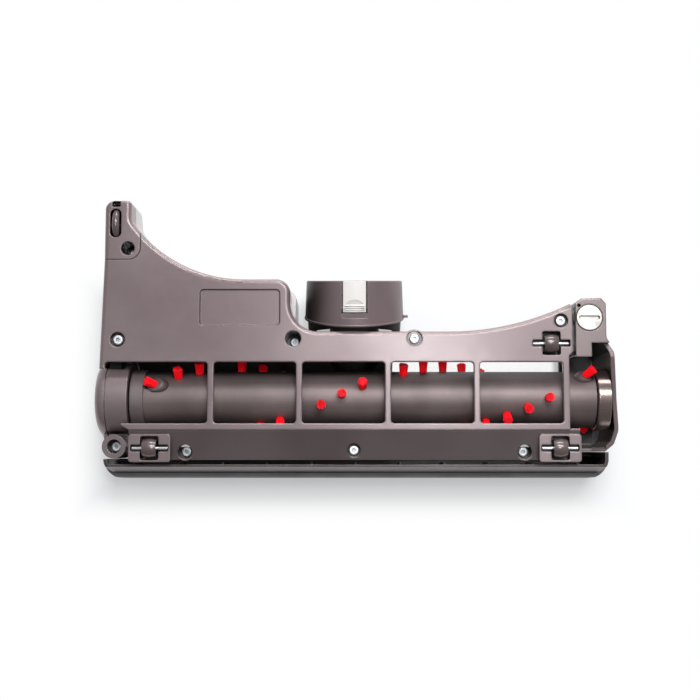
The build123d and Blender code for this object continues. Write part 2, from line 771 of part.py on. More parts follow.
# Neck cradle: a wall behind the chamber, with two lugs that hold the pivot pins
cradle_rear = hinge_y - 4.8
with BuildPart() as neck_cradle:
    add(prism_z(neck_x - cradle_half, neck_x + cradle_half, cover_rear + seam_gap, cradle_rear, 6.0, plate_z))
    with BuildSketch(Plane.XZ.offset(-cradle_rear)):
        with Locations((neck_x, port_z)):
            Circle(port_r + 1.2)
    extrude(amount=9, mode=Mode.SUBTRACT)
    for side in (-1, 1):
        inner = neck_x + side * (ear_x + lug_gap)
        outer = neck_x + side * cradle_half
        lug = tube_x(min(inner, outer), max(inner, outer), hinge_y, hinge_z, lug_r)
        add(lug)
        low_x, high_x = min(inner, outer), max(inner, outer)
        add(prism_z(low_x, high_x, cradle_rear - 1, hinge_y, hinge_z - lug_r, hinge_z + lug_r))
    reach = cradle_half + 1
    add(tube_x(neck_x - reach, neck_x + reach, hinge_y, hinge_z, pin_r), mode=Mode.SUBTRACT)
finish_part(neck_cradle, "neck_cradle")

with BuildPart() as neck_pivot_pins:
    for side in (-1, 1):
        inner = neck_x + side * (ear_x - ear_t)
        outer = neck_x + side * cradle_half
        add(tube_x(min(inner, outer), max(inner, outer), hinge_y, hinge_z, pin_r))
finish_part(neck_pivot_pins, "neck_pivot_pins")

# Ribbed hose between the chamber's port and the neck
with BuildPart() as suction_hose:
    hose_r = port_r - seam_gap
    hose_length = hinge_y + 6.0 - (cover_rear - 2.5)
    with BuildSketch(Plane(origin=(neck_x, cover_rear - 2.5, port_z), x_dir=(1, 0, 0), z_dir=(0, 1, 0))):
        Circle(hose_r)
        Circle(hose_r - 1.4, mode=Mode.SUBTRACT)
    extrude(amount=hose_length)
    for step in range(3):
        rib_y = cradle_rear + 1.2 + step * 3.2
        with BuildSketch(Plane(origin=(neck_x, rib_y, port_z), x_dir=(1, 0, 0), z_dir=(0, 1, 0))):
            Circle(hose_r + 1.2)
            Circle(hose_r - 0.5, mode=Mode.SUBTRACT)
        extrude(amount=1.6)
finish_part(suction_hose, "suction_hose")


def neck_disc(start, end, radius, end_radius=None):
    # A disc or a cone about the neck's own axis
    with BuildPart() as disc:
        with BuildSketch(neck_plane.offset(start)):
            Circle(radius)
        if end_radius is None:
            extrude(amount=end - start)
        else:
            with BuildSketch(neck_plane.offset(end)):
                Circle(end_radius)
            loft()
    return disc.part


def neck_block(x_from, x_to, y_from, y_to, start, end, corner=0.0):
    # A block in the neck's own frame; its local y points away from the sole's side
    with BuildPart() as block:
        with BuildSketch(neck_plane.offset(start)):
            with Locations(((x_from + x_to) / 2, (y_from + y_to) / 2)):
                Rectangle(x_to - x_from, y_to - y_from)
        extrude(amount=end - start)
    return block.part


# Neck ring with its two ears
with BuildPart() as neck_ring:
    add(neck_disc(neck_start, neck_end, ring_r))
    for side in (-1, 1):
        inner, outer = side * (ear_x - ear_t), side * ear_x
        add(neck_block(min(inner, outer), max(inner, outer), -4.2, 4.2, 0.0, neck_start + 1))
        with BuildSketch(Plane.YZ.offset(neck_x + min(inner, outer))):
            with Locations((hinge_y, hinge_z)):
                Circle(4.2)
        extrude(amount=ear_t)
    add(neck_disc(neck_start - 0.0, neck_end + 1, ring_r - neck_t), mode=Mode.SUBTRACT)
    add(
        tube_x(neck_x - ear_x - 1, neck_x + ear_x + 1, hinge_y, hinge_z, pin_r + 0.05),
        mode=Mode.SUBTRACT,
    )
finish_part(neck_ring, "neck_ring")

# Neck cuff: the socket that takes the cleaner's duct
clip_half = 6.05
clip_start = 17.6
clip_t = 2.0
clip_out = cuff_r - 0.55
clip_pin_a = 26.5
clip_pin_y = -(clip_out - 1.9)
clip_pin_r = 0.5
clip_gap = 0.9
bore_r = cuff_r - cuff_t
with BuildPart() as cuff_wall:
    add(neck_disc(cuff_start, cuff_end, cuff_r, cuff_r - cuff_draft))
    fillet(cuff_wall.edges().filter_by(GeomType.CIRCLE), 0.8)
    add(neck_block(cuff_r - 1.5, cuff_r + 2.3, -1.6, 1.6, 10.6, 12.6))
    add(neck_disc(cuff_start - 1, neck_end + 0.2, bore_r), mode=Mode.SUBTRACT)
    add(neck_disc(neck_end, neck_end + 3, ring_r - neck_t), mode=Mode.SUBTRACT)
    add(neck_disc(neck_end + 1.8, cuff_end + 1, bore_r), mode=Mode.SUBTRACT)
    # Recess of the clip: a step in the wall, then right through it
    slot_x = clip_half + clip_gap
    add(neck_block(-slot_x, slot_x, -cuff_r - 1, -clip_out + 0.9, 14.4, cuff_end + 1), mode=Mode.SUBTRACT)
    add(
        neck_block(-slot_x, slot_x, -cuff_r - 1, -bore_r + 3, clip_start - 0.6, cuff_end + 1),
        mode=Mode.SUBTRACT,
    )


def cross_pin(radius, half):
    # A pin that lies along X through the clip and the cuff's wall
    start = neck_plane.from_local_coords((-half, clip_pin_y, clip_pin_a))
    with BuildPart() as pin:
        with BuildSketch(Plane(origin=start, x_dir=neck_dir, z_dir=(1, 0, 0))):
            Circle(radius)
        extrude(amount=2 * half)
    return pin.part


pin_half = clip_half + clip_gap + 0.65
with BuildPart() as clip_pin:
    add(cross_pin(clip_pin_r, pin_half))
finish_part(clip_pin, "clip_pin")

with BuildPart() as neck_cuff:
    add(cuff_wall.part)
    add(cross_pin(clip_pin_r, pin_half), mode=Mode.SUBTRACT)
finish_part(neck_cuff, "neck_cuff")

def thumb_hollow():
    # A slope that falls towards the ridges, cut out under a round arch
    low, high = clip_start + 4.2, clip_start + 6.8
    arch_r = 5.8
    start = neck_plane.from_local_coords((-clip_half, 0, 0))
    column_start = neck_plane.from_local_coords((0, -cuff_r - 2, high - 0.2 - arch_r))
    with BuildPart() as hollow:
        with BuildSketch(Plane(origin=start, x_dir=neck_dir, z_dir=(1, 0, 0))):
            with BuildLine():
                Line((high, clip_out), (low, clip_out - 0.8))
                Polyline((low, clip_out - 0.8), (low, clip_out + 2), (high, clip_out + 2), (high, clip_out))
            make_face()
        extrude(amount=2 * clip_half)
        with BuildSketch(Plane(origin=column_start, x_dir=(1, 0, 0), z_dir=neck_plane.y_dir)):
            Circle(arch_r)
        extrude(amount=cuff_r, mode=Mode.INTERSECT)
    return hollow.part


# Release clip: a curved tongue with three grip ridges and a thumb hollow
with BuildPart() as release_clip:
    add(neck_disc(clip_start, cuff_end - 0.3, clip_out))
    add(neck_disc(clip_start - 1, cuff_end + 1, clip_out - clip_t), mode=Mode.SUBTRACT)
    add(neck_block(-clip_half, clip_half, -cuff_r - 2, 0, clip_start, cuff_end - 0.3), mode=Mode.INTERSECT)
    add(cross_pin(clip_pin_r + 0.45, clip_half))
    add(thumb_hollow(), mode=Mode.SUBTRACT)
    ridge_x = clip_half - 0.6
    for step in range(3):
        ridge = clip_start + 1.0 + step * 1.1
        add(neck_block(-ridge_x, ridge_x, -clip_out - 0.3, -clip_out + 1.2, ridge, ridge + 0.5))
    add(cross_pin(clip_pin_r + 0.05, clip_half + 1), mode=Mode.SUBTRACT)
finish_part(release_clip, "release_clip")


def barrel_wheel(x, y, z, radius, width, bore):
    # Tread slightly rounded across its width, turned about its axle
    half = width / 2
    with BuildPart() as wheel:
        with BuildSketch(Plane.XY):
            with BuildLine():
                Polyline((-half, radius * 0.86), (-half, bore), (half, bore), (half, radius * 0.86))
                ThreePointArc((-half, radius * 0.86), (0, radius), (half, radius * 0.86))
            make_face()
        revolve(axis=Axis.X)
    return wheel.part.moved(Location((x, y, z)))


# Small wheels and their axles
wheel_names = ["front_left", "front_right", "rear_right"]
for label, (x, y, top) in zip(wheel_names, wheel_places):
    reach = wheel_w / 2 + well_clear + axle_over - 0.6
    with BuildPart() as axle:
        add(tube_x(x - reach, x + reach, y, wheel_axle_z, axle_r))
    finish_part(axle, "axle_" + label)
    with BuildPart() as wheel:
        add(barrel_wheel(x, y, wheel_axle_z, wheel_r, wheel_w, axle_r + axle_run))
    finish_part(wheel, "wheel_" + label)

with BuildPart() as axle:
    add(tube_x(arm_wheel_x - 4.5, arm_wheel_x + 4.5, arm_wheel_y, arm_axle_z, axle_r))
finish_part(axle, "axle_arm")
with BuildPart() as wheel_arm:
    add(
        barrel_wheel(arm_wheel_x, arm_wheel_y, arm_axle_z, arm_wheel_r, arm_wheel_w, axle_r + axle_run)
    )
finish_part(wheel_arm, "wheel_arm")

# End cap: shell over the bar's right end, flat on top behind the bar
cap_t = 2.2
cap_notch_y = -3.7
cap_leg_x = 125.5
cap_front = -61.5
cap_left = cover_right + seam_gap
strip_right_x = front_wheel_xs[1] + 11.4


def cap_face():
    # Plan outline; the outer wall bulges round the end of the brush
    waist = [(133.4, -1.0), (138.2, -8.5), (140.2, -34.0), (141.9, -50.0), (139.6, -57.5)]
    with BuildSketch() as face:
        with BuildLine():
            Polyline(
                *waist, (135.0, cap_front), (strip_right_x, cap_front), (strip_right_x, -48.5),
                (cap_left, -46.0), (cap_left, 17.5), (120.2, 20.0), (130.9, 20.4), (133.4, 17.5),
                close=True,
            )
        make_face()
        for corner, radius in zip(waist, (4.0, 5.0, 30.0, 9.0, 3.0)):
            fillet(face.vertices().sort_by_distance(corner)[0], radius)
    return face.sketch


cap_floor_t = 2.5
with BuildPart() as end_cap:
    with BuildSketch():
        add(cap_face())
    extrude(amount=sole_z)
    fillet(
        end_cap.faces().sort_by(Axis.Z)[0].edges().filter_by(lambda e: e.center().X > 130),
        4.0,
    )
    fillet(
        end_cap.edges().group_by(Axis.Z)[-1].filter_by(lambda e: e.center().Y > 18),
        0.8,
    )
    with BuildSketch(Plane.XY.offset(cap_floor_t)):
        add(cap_face())
        offset(amount=-cap_t, mode=Mode.REPLACE)
    extrude(amount=sole_z - cap_floor_t - plate_t, mode=Mode.SUBTRACT)
    # Open above the bar, with a side wall that falls towards the front
    with BuildSketch(Plane.YZ.offset(cap_left - 1)):
        with BuildLine():
            Polyline(
                (cap_notch_y, plate_z - 1.0), (-11.0, 48.5), (-36.0, 42.5), (cap_front, 36.5),
                (cap_front - 1, sole_z + 1), (cap_notch_y, sole_z + 1), close=True,
            )
        make_face()
    extrude(amount=40, mode=Mode.SUBTRACT)
    # The bar passes on the left
    add(
        prism_z(cap_left - 1, 128.0, bar_y - tuft_tip_r - 1.0, bar_y + tuft_tip_r + 1.0, cap_floor_t, sole_z),
        mode=Mode.SUBTRACT,
    )
    # Leg of the flat top
    add(prism_z(cap_left, cap_leg_x, -11.2, cap_notch_y + 1, plate_z, sole_z, 0.6))
    # Front tab beside the wheel block
    add(prism_z(strip_right_x + 0.4, strip_right_x + 5.8, cap_front + 0.2, cap_front + 4.2, 30.0, 46.5, 0.8))
    # Boss of the fastener
    add(post_z(coin_x, coin_y, 46.0, sole_z - 0.5, coin_r + 1.6))
    add(post_z(coin_x, coin_y, 49.4, sole_z + 1, coin_r + 0.3), mode=Mode.SUBTRACT)
    add(post_z(coin_x, coin_y, 45.0, sole_z, 2.7), mode=Mode.SUBTRACT)
    add(post_z(119.0, 16.2, 48.0, sole_z + 1, 0.9), mode=Mode.SUBTRACT)
finish_part(end_cap, "end_cap")

# Quarter-turn fastener with a coin slot and a cam below
slot_l = coin_r - 1.2
with BuildPart() as end_cap_fastener:
    add(post_z(coin_x, coin_y, 49.6, sole_z + 0.4, coin_r))
    fillet(end_cap_fastener.faces().sort_by(Axis.Z)[-1].edges(), 0.5)
    add(post_z(coin_x, coin_y, 43.0, 50.0, 2.6))
    add(prism_z(cap_left + cap_t + 0.3, coin_x + 2.6, coin_y - 1.8, coin_y + 1.8, 43.0, 45.4))
    add(
        prism_z(coin_x - slot_l, coin_x + slot_l, coin_y - 1.1, coin_y + 1.1, sole_z - 1.2, sole_z + 1, 1.05),
        mode=Mode.SUBTRACT,
    )
finish_part(end_cap_fastener, "end_cap_fastener")

# Bell that carries the bar's right stub in a bearing
bell_x = bar_right + 0.4
with BuildPart() as end_bell:
    add(tube_x(bell_x, bell_x + bell_l, bar_y, bar_z, bell_r, 7.0))
    fillet(end_bell.edges().filter_by(GeomType.CIRCLE).sort_by(Axis.X)[0:2].sort_by(SortBy.RADIUS)[-1], 1.0)
    with BuildSketch(Plane.YZ.offset(bell_x)):
        with Locations((bar_y, bar_z)):
            Circle(bell_r - 2.4)
            Circle(9.5, mode=Mode.SUBTRACT)
    extrude(amount=3.0, mode=Mode.SUBTRACT)
finish_part(end_bell, "end_bell")

with BuildPart() as end_bearing:
    add(tube_x(bell_x + 1.0, bell_x + bell_l - 0.6, bar_y, bar_z, 7.0, shaft_r + 0.05))
finish_part(end_bearing, "end_bearing")

# Front bumper: a hollow lip in front of the sole
bumper_half = 135.0
bumper_t = 1.8
bumper_back = cover_front - seam_gap
bumper_top = 44.5
bumper_line = [(-66.0, 6.0), (-72.0, 12.0), (-74.2, 24.0), (-73.6, 33.0), (-69.6, bumper_top)]


def bumper_block(grow):
    # The lip's section drawn along X and cut by its rounded plan
    line = [(y - grow, z) for y, z in bumper_line]
    with BuildPart() as block:
        with BuildSketch(Plane.YZ.offset(-bumper_half - 5)):
            with BuildLine():
                Polyline((bumper_back, line[0][1]), *line, (bumper_back, line[-1][1]), close=True)
            make_face()
        extrude(amount=2 * bumper_half + 10)
        with BuildSketch():
            with Locations((0, bumper_back)):
                RectangleRounded(
                    2 * (bumper_half + grow), 2 * (grow - bumper_line[2][0] + bumper_back), 9.0 + grow
                )
        extrude(amount=100, mode=Mode.INTERSECT)
    return block.part


with BuildPart() as front_bumper:
    add(bumper_block(0.0))
    void = bumper_block(-bumper_t).moved(Location((0, 0, bumper_t)))
    add(void, mode=Mode.SUBTRACT)
    add(prism_z(-118, 118, bumper_back - 6, 0, 8.0, bumper_top + 1), mode=Mode.SUBTRACT)
    for step in range(-5, 6):
        add(prism_z(step * 24.0 - 0.5, step * 24.0 + 0.5, -71.5, strip_front - 1.4, 7.5, 36.0))
    # Room for the belt cover's lobe and for the end cap
    add(prism_z(119.2, 150, cap_front - seam_gap, -50, 0, 60), mode=Mode.SUBTRACT)
    lobe_front = cover_screws[0][1] - cover_screws[0][2] - lobe_wall - seam_gap
    add(prism_z(-150, strip_left, lobe_front, -50, 0, 60), mode=Mode.SUBTRACT)
finish_part(front_bumper, "front_bumper")

strip_t = 1.85
with BuildPart() as bumper_strip:
    add(bumper_block(strip_t) & prism_z(-bumper_half - 5, bumper_half + 5, -90, -66.5, 18.0, 34.0))
    add(bumper_block(0.0), mode=Mode.SUBTRACT)
finish_part(bumper_strip, "bumper_strip")

with BuildPart() as soleplate_screws:
    for x, y, radius, depth in sole_screws:
        add(screw(x, y, sole_z - depth + 0.0))
finish_part(soleplate_screws, "soleplate_screws")

with BuildPart() as cover_screw_pair:
    for x, y, radius, depth in cover_screws:
        add(screw(x, y, sole_z - depth))
finish_part(cover_screw_pair, "cover_screws")
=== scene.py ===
import bpy
import math
import numpy as np
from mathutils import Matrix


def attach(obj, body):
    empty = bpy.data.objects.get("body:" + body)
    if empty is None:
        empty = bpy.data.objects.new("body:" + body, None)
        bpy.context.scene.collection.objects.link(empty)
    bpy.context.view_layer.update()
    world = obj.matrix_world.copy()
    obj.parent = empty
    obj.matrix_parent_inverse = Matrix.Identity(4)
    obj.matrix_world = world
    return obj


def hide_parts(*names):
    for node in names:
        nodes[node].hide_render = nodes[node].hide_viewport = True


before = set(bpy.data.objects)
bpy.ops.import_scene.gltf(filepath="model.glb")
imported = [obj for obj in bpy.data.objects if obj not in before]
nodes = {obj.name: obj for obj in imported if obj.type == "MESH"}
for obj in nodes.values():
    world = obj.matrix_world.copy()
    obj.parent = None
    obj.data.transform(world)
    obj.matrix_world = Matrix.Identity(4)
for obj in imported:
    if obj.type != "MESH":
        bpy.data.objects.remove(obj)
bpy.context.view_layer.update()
print("frame loaded:", len(nodes), "nodes")


# Shader sums
class Wire:
    # one output socket; sums written on it become Math nodes
    def __init__(self, paint, socket):
        self.paint = paint
        self.socket = socket

    def sums(self, operation, *terms):
        return self.paint.add("ShaderNodeMath", {"operation": operation}, dict(enumerate(terms)))

    def __add__(self, other):
        return self.sums("ADD", self, other)

    def __radd__(self, other):
        return self.sums("ADD", other, self)

    def __sub__(self, other):
        return self.sums("SUBTRACT", self, other)

    def __rsub__(self, other):
        return self.sums("SUBTRACT", other, self)

    def __mul__(self, other):
        return self.sums("MULTIPLY", self, other)

    def __rmul__(self, other):
        return self.sums("MULTIPLY", other, self)

    def __pow__(self, power):
        return self.sums("POWER", self, power)

    def __abs__(self):
        return self.sums("ABSOLUTE", self)

    def least(self, bound):
        return self.sums("MINIMUM", self, bound)

    def most(self, bound):
        return self.sums("MAXIMUM", self, bound)

    def fade(self, low, high):
        # 0 below low, 1 above high, smooth between
        return self.paint.add("ShaderNodeMapRange", {"interpolation_type": "SMOOTHSTEP"},
                              {0: self, 1: low, 2: high, 3: 0.0, 4: 1.0})


# how scratches, worn edges and hollows are found, for all finishes
touch = {"scratchStretch": 14.0, "scratchThin": 0.006, "scratchCore": 0.4, "patchScale": 0.7,
         "patchFade": (0.52, 0.66), "edgeFade": (0.01, 0.18), "bevelSamples": 4, "skySamples": 8}


class Paint:
    # one material or world and the nodes in it
    def __init__(self, name, world=None):
        self.mat = world or bpy.data.materials.new(name)
        self.mat.use_nodes = True
        self.tree = self.mat.node_tree
        self.tree.nodes.clear()
        self.out = self.tree.nodes.new("ShaderNodeOutputWorld" if world else "ShaderNodeOutputMaterial")

    def add(self, kind, settings, sockets, out=0):
        # a node of that kind: its settings first, then the values or links of its sockets
        node = self.tree.nodes.new(kind)
        for key, value in settings.items():
            setattr(node, key, value)
        for key, value in sockets.items():
            if isinstance(value, Wire):
                self.tree.links.new(value.socket, node.inputs[key])
            else:
                node.inputs[key].default_value = value
        return Wire(self, node.outputs[out])

    def show(self, shader):
        self.tree.links.new(shader.socket, self.out.inputs["Surface"])
        return self.mat

    def place(self, scale=(1.0, 1.0, 1.0), turn=(0.0, 0.0, 0.0)):
        # Object coordinates, turned and stretched
        spot = self.add("ShaderNodeTexCoord", {}, {}, "Object")
        return self.add("ShaderNodeMapping", {}, {"Vector": spot, "Rotation": turn, "Scale": scale})

    def part(self, vector, axis):
        return self.add("ShaderNodeSeparateXYZ", {}, {"Vector": vector}, axis)

    def spot(self):
        # the three Object coordinates as wires of their own
        whole = self.place()
        return [self.part(whole, axis) for axis in "XYZ"]

    def noise(self, scale, detail, spot=None):
        return self.add("ShaderNodeTexNoise", {},
                        {"Vector": spot or self.place(), "Scale": scale, "Detail": detail})

    def scratches(self, scale, turn):
        # thin lines where a stretched noise crosses its middle value, kept in patches
        spot = self.place(scale=(1.0, touch["scratchStretch"], 1.0), turn=(0.0, 0.0, turn))
        away = abs(self.noise(scale, 1.0, spot) - 0.5)
        lines = 1.0 - away.fade(touch["scratchThin"] * touch["scratchCore"], touch["scratchThin"])
        return lines * self.noise(scale * touch["patchScale"], 1.0).fade(*touch["patchFade"])

    def blend(self, amount, first, second):
        return self.add("ShaderNodeMix", {"data_type": "RGBA"}, {0: amount, 6: first, 7: second}, 2)

    def scaled(self, colour, amount):
        return self.add("ShaderNodeVectorMath", {"operation": "SCALE"}, {0: colour, 3: amount})

    def round(self, radius):
        # the normal of edges rounded to the radius
        return self.add("ShaderNodeBevel", {"samples": touch["bevelSamples"]}, {"Radius": radius})

    def facing(self):
        return self.add("ShaderNodeNewGeometry", {}, {}, "Normal")

    def edges(self, radius):
        # 1 on sharp outer and inner edges: how far the rounded normal leaves the true one
        same = self.add("ShaderNodeVectorMath", {"operation": "DOT_PRODUCT"},
                        {0: self.round(radius), 1: self.facing()}, "Value")
        return (1.0 - same).fade(*touch["edgeFade"])

    def shadeInHollows(self, distance, floor, low=0.12, high=0.78):
        # painted shade: 1 in the open, down to floor deep inside holes, slots and gaps
        openSky = self.add("ShaderNodeAmbientOcclusion", {"samples": touch["skySamples"]},
                           {"Distance": distance}, "AO")
        return openSky.fade(low, high) * (1.0 - floor) + floor

    def outside(self, mid, half):
        # how far a point lies outside a rectangle in plan, given by its middle and half sides; below 0 inside
        x, y = self.spot()[:2]
        return (abs(x - mid[0]) - half[0]).most(abs(y - mid[1]) - half[1])

    def cornered(self, across, along, radius):
        # distance from two straight sides that meet in a corner rounded to the radius
        across, along = across + radius, along + radius
        beyond = (across.most(0.0) ** 2.0 + along.most(0.0) ** 2.0) ** 0.5
        return beyond + across.most(along).least(0.0) - radius

    def bump(self, height, depth, base=None):
        sockets = {"Height": height, "Strength": 1.0, "Distance": depth}
        if base:
            sockets["Normal"] = base
        return self.add("ShaderNodeBump", {}, sockets)

    def finish(self, **sockets):
        named = {key.replace("_", " "): value for key, value in sockets.items()}
        return self.show(self.add("ShaderNodeBsdfPrincipled", {}, named))


def linear(part):
    # one screen number 0-255 to the renderer's linear 0-1, by the screen's standard curve
    return part / 255 / 12.92 if part <= 10 else ((part / 255 + 0.055) / 1.055) ** 2.4


def tone(red, green, blue):
    return (linear(red), linear(green), linear(blue), 1.0)


# Pearl plastic of the housing, cuff and wheels, and in silver tones of the motor cover and the clip
pearlLook = {
    "low": tone(122, 107, 110), "high": tone(136, 122, 124), "drift": (14.0, 2.0), "driftFade": (0.35, 0.65),
    "flakes": (5200.0, 1.0), "flake": 0.16,
    "worn": tone(205, 195, 192), "rubEdge": 0.0005, "rubs": (60.0, 3.0), "rubFade": (0.3, 0.6), "rub": 0.5,
    "scratches": ((24.0, 0.5), (31.0, -0.9)), "secondShare": 0.7, "marks": 0.04,
    "deepReach": 0.007, "deep": 0.05, "wellReach": 0.024, "well": 0.2, "wellFade": (0.04, 0.34),
    "paintedHighlightTone": tone(236, 212, 203), "sheen": 0.0, "sheenFade": (0.2, 0.5), "flatShare": 0.3,
    "shade": 0.0, "shadeFade": (0.3, 0.95), "lines": [], "lineCore": 0.35, "ledge": None, "cave": None,
    "edge": 0.0004, "grain": (2400.0, 2.0), "scratchDepth": 0.4, "grainDepth": 0.00002,
    "rough": 0.23, "driftRough": 0.08, "marksRough": 0.15, "blotches": (180.0, 3.0), "blotchRough": 0.08,
    "metal": 0.35, "coat": 0.25, "coatRough": 0.18}


def drawnLines(p, colour, look):
    # thin dark lines: all round a middle where a line has half sides, else along two sides of a corner
    x, y = p.spot()[:2]
    for line in look["lines"]:
        if "half" in line:
            across = abs(x - line["x"]) - line["half"][0]
            along = abs(y - line["y"]) - line["half"][1]
        else:
            across, along = x - line["x"], line["y"] - y
        gap = abs(p.cornered(across, along, line["corner"]))
        pale = gap.fade(line["width"] * look["lineCore"], line["width"])
        colour = p.scaled(colour, pale * (1.0 - line["dark"]) + line["dark"])
    return colour


def unlitPlaces(p, colour, look):
    # ledge: the front strip that lies lower, in half shade; cave: the unlit inside under its top
    y, z = p.spot()[1:]
    ledge, cave = look["ledge"], look["cave"]
    if ledge:
        below = 1.0 - (z - ledge["z"]).fade(-ledge["softZ"], 0.0)
        before = 1.0 - (y - ledge["y"]).fade(-ledge["softY"], 0.0)
        colour = p.scaled(colour, 1.0 - below * before * ledge["dark"])
    if cave:
        within = 1.0 - p.outside(cave["mid"], cave["half"]).fade(0.0, cave["softSide"])
        below = (cave["top"] - z).fade(0.0, cave["softTop"])
        colour = p.scaled(colour, 1.0 - within * below * cave["dark"])
    return colour


def paintedLightByFacing(p, colour, look):
    # painted shade where the surface faces left, painted highlight on edges rounded towards the rear
    facing = p.facing()
    left = 0.0 - p.part(facing, "X")
    colour = p.scaled(colour, 1.0 - left.fade(*look["shadeFade"]) * look["shade"])
    slope = p.part(p.round(look["edge"]), "Y") - p.part(facing, "Y") * look["flatShare"]
    return p.blend(slope.fade(*look["sheenFade"]) * look["sheen"], colour, look["paintedHighlightTone"])


def shellPlastic(name, **changes):
    # pearly satin plastic: slow drift of tone, fine flake, light scratches, paler rubbed edges
    look = {**pearlLook, **changes}
    p = Paint(name)
    drift = p.noise(*look["drift"])
    rub = p.edges(look["rubEdge"]) * p.noise(*look["rubs"]).fade(*look["rubFade"])
    first, second = look["scratches"]
    marks = p.scratches(*first) + p.scratches(*second) * look["secondShare"]
    colour = p.blend(drift.fade(*look["driftFade"]), look["low"], look["high"])
    colour = p.scaled(colour, p.noise(*look["flakes"]) * look["flake"] + (1.0 - look["flake"] / 2))
    colour = p.blend(rub * look["rub"] + marks * look["marks"], colour, look["worn"])
    # painted shade in holes, slots, gaps and wider hollows
    deep = p.shadeInHollows(look["deepReach"], look["deep"])
    well = p.shadeInHollows(look["wellReach"], look["well"], *look["wellFade"])
    colour = drawnLines(p, p.scaled(colour, deep * well), look)
    # painted shade on the ledge, in the cave and on left-facing sides; painted highlight on edges rounded
    # towards the rear
    colour = paintedLightByFacing(p, unlitPlaces(p, colour, look), look)
    relief = p.noise(*look["grain"]) - marks * look["scratchDepth"]
    rough = drift * look["driftRough"] + marks * look["marksRough"]
    rough = rough + p.noise(*look["blotches"]) * look["blotchRough"] + look["rough"]
    return p.finish(Base_Color=colour, Roughness=rough, Metallic=look["metal"], Coat_Weight=look["coat"],
                    Coat_Roughness=look["coatRough"],
                    Normal=p.bump(relief, look["grainDepth"], p.round(look["edge"])))


# Metal tube of the bar
tubeLook = {
    "low": tone(104, 92, 92), "high": tone(120, 107, 107), "drift": (40.0, 3.0), "driftFade": (0.3, 0.7),
    "lines": (900.0, 2.0), "linesAlong": (0.03, 1.0, 1.0), "lineShare": 0.16,
    "rings": (300.0, 2.0), "ringsAlong": (1.0, 0.04, 0.04), "ringShare": 0.10, "even": 0.87,
    "deep": (0.006, 0.35), "well": (0.02, 0.5, 0.1, 0.55),
    "rough": 0.4, "lineRough": 0.12, "lineDepth": 0.00002, "metal": 0.45}


def barMetal(name, look):
    # drawn tube: fine lines along the bar and rings round it, painted shade round the tufts
    p = Paint(name)
    lines = p.noise(*look["lines"], p.place(scale=look["linesAlong"]))
    rings = p.noise(*look["rings"], p.place(scale=look["ringsAlong"]))
    colour = p.blend(p.noise(*look["drift"]).fade(*look["driftFade"]), look["low"], look["high"])
    colour = p.scaled(colour, lines * look["lineShare"] + rings * look["ringShare"] + look["even"])
    colour = p.scaled(colour, p.shadeInHollows(*look["deep"]) * p.shadeInHollows(*look["well"]))
    return p.finish(Base_Color=colour, Roughness=lines * look["lineRough"] + look["rough"],
                    Metallic=look["metal"], Normal=p.bump(lines, look["lineDepth"]))


# Nylon of the tufts
nylonLook = {
    "root": tone(236, 8, 20), "mid": tone(253, 12, 28), "midFade": (0.0, 0.5),
    "tip": tone(255, 30, 46), "tipFade": (0.86, 1.0), "strandShare": 0.22, "even": 0.86,
    "dust": tone(246, 150, 150), "dusts": (700.0, 2.0), "dustFade": (0.58, 0.75), "dustShare": 0.05,
    "glow": 0.3, "deep": (0.012, 0.0, 0.15, 0.7), "shine": 0.2,
    "rough": 0.6, "strandRough": 0.1, "grain": (3000.0, 2.0), "grainDepth": 0.00001}


def bristleNylon(name, look):
    # saturated nylon, paler at the cut tips: reach runs 0 to 1 along each filament, strand is its own number
    p = Paint(name)
    reach = p.add("ShaderNodeAttribute", {"attribute_name": "reach"}, {}, "Fac")
    strand = p.add("ShaderNodeAttribute", {"attribute_name": "strand"}, {}, "Fac")
    colour = p.blend(reach.fade(*look["midFade"]), look["root"], look["mid"])
    colour = p.blend(reach.fade(*look["tipFade"]), colour, look["tip"])
    colour = p.scaled(colour, strand * look["strandShare"] + look["even"])
    dust = p.noise(*look["dusts"]).fade(*look["dustFade"])
    colour = p.blend(dust * look["dustShare"], colour, look["dust"])
    # painted glow: the nylon gives off light in its own colour, with painted shade taking it out in the
    # hollows
    return p.finish(Base_Color=colour, Roughness=look["rough"] - strand * look["strandRough"],
                    Specular_IOR_Level=look["shine"], Emission_Strength=look["glow"],
                    Emission_Color=p.scaled(colour, p.shadeInHollows(*look["deep"])),
                    Normal=p.bump(p.noise(*look["grain"]), look["grainDepth"]))


# Clear plastic of the chamber's cover; behind rearY it is a dark opaque sheet up to ductX and from hubX on,
# painted shade for the shaded inside behind it
clearLook = {
    "low": tone(225, 228, 230), "high": tone(240, 242, 242), "haze": (30.0, 3.0), "hazeFade": (0.4, 0.75),
    "scratches": (40.0, 0.3), "rimEdge": 0.0006, "body": 0.02, "hazeBody": 0.03, "marksBody": 0.12,
    "rimBody": 0.25, "dark": tone(16, 14, 14), "ductX": 0.0205, "ductSoft": 0.0004, "hubX": 0.1152,
    "hubSoft": 0.0003, "rearY": -0.0333, "rearSoft": 0.0002, "flow": (90.0, 1.0), "flowDepth": 0.00006,
    "rough": 0.08, "hazeRough": 0.08, "marksRough": 0.1, "darkRough": 0.6}


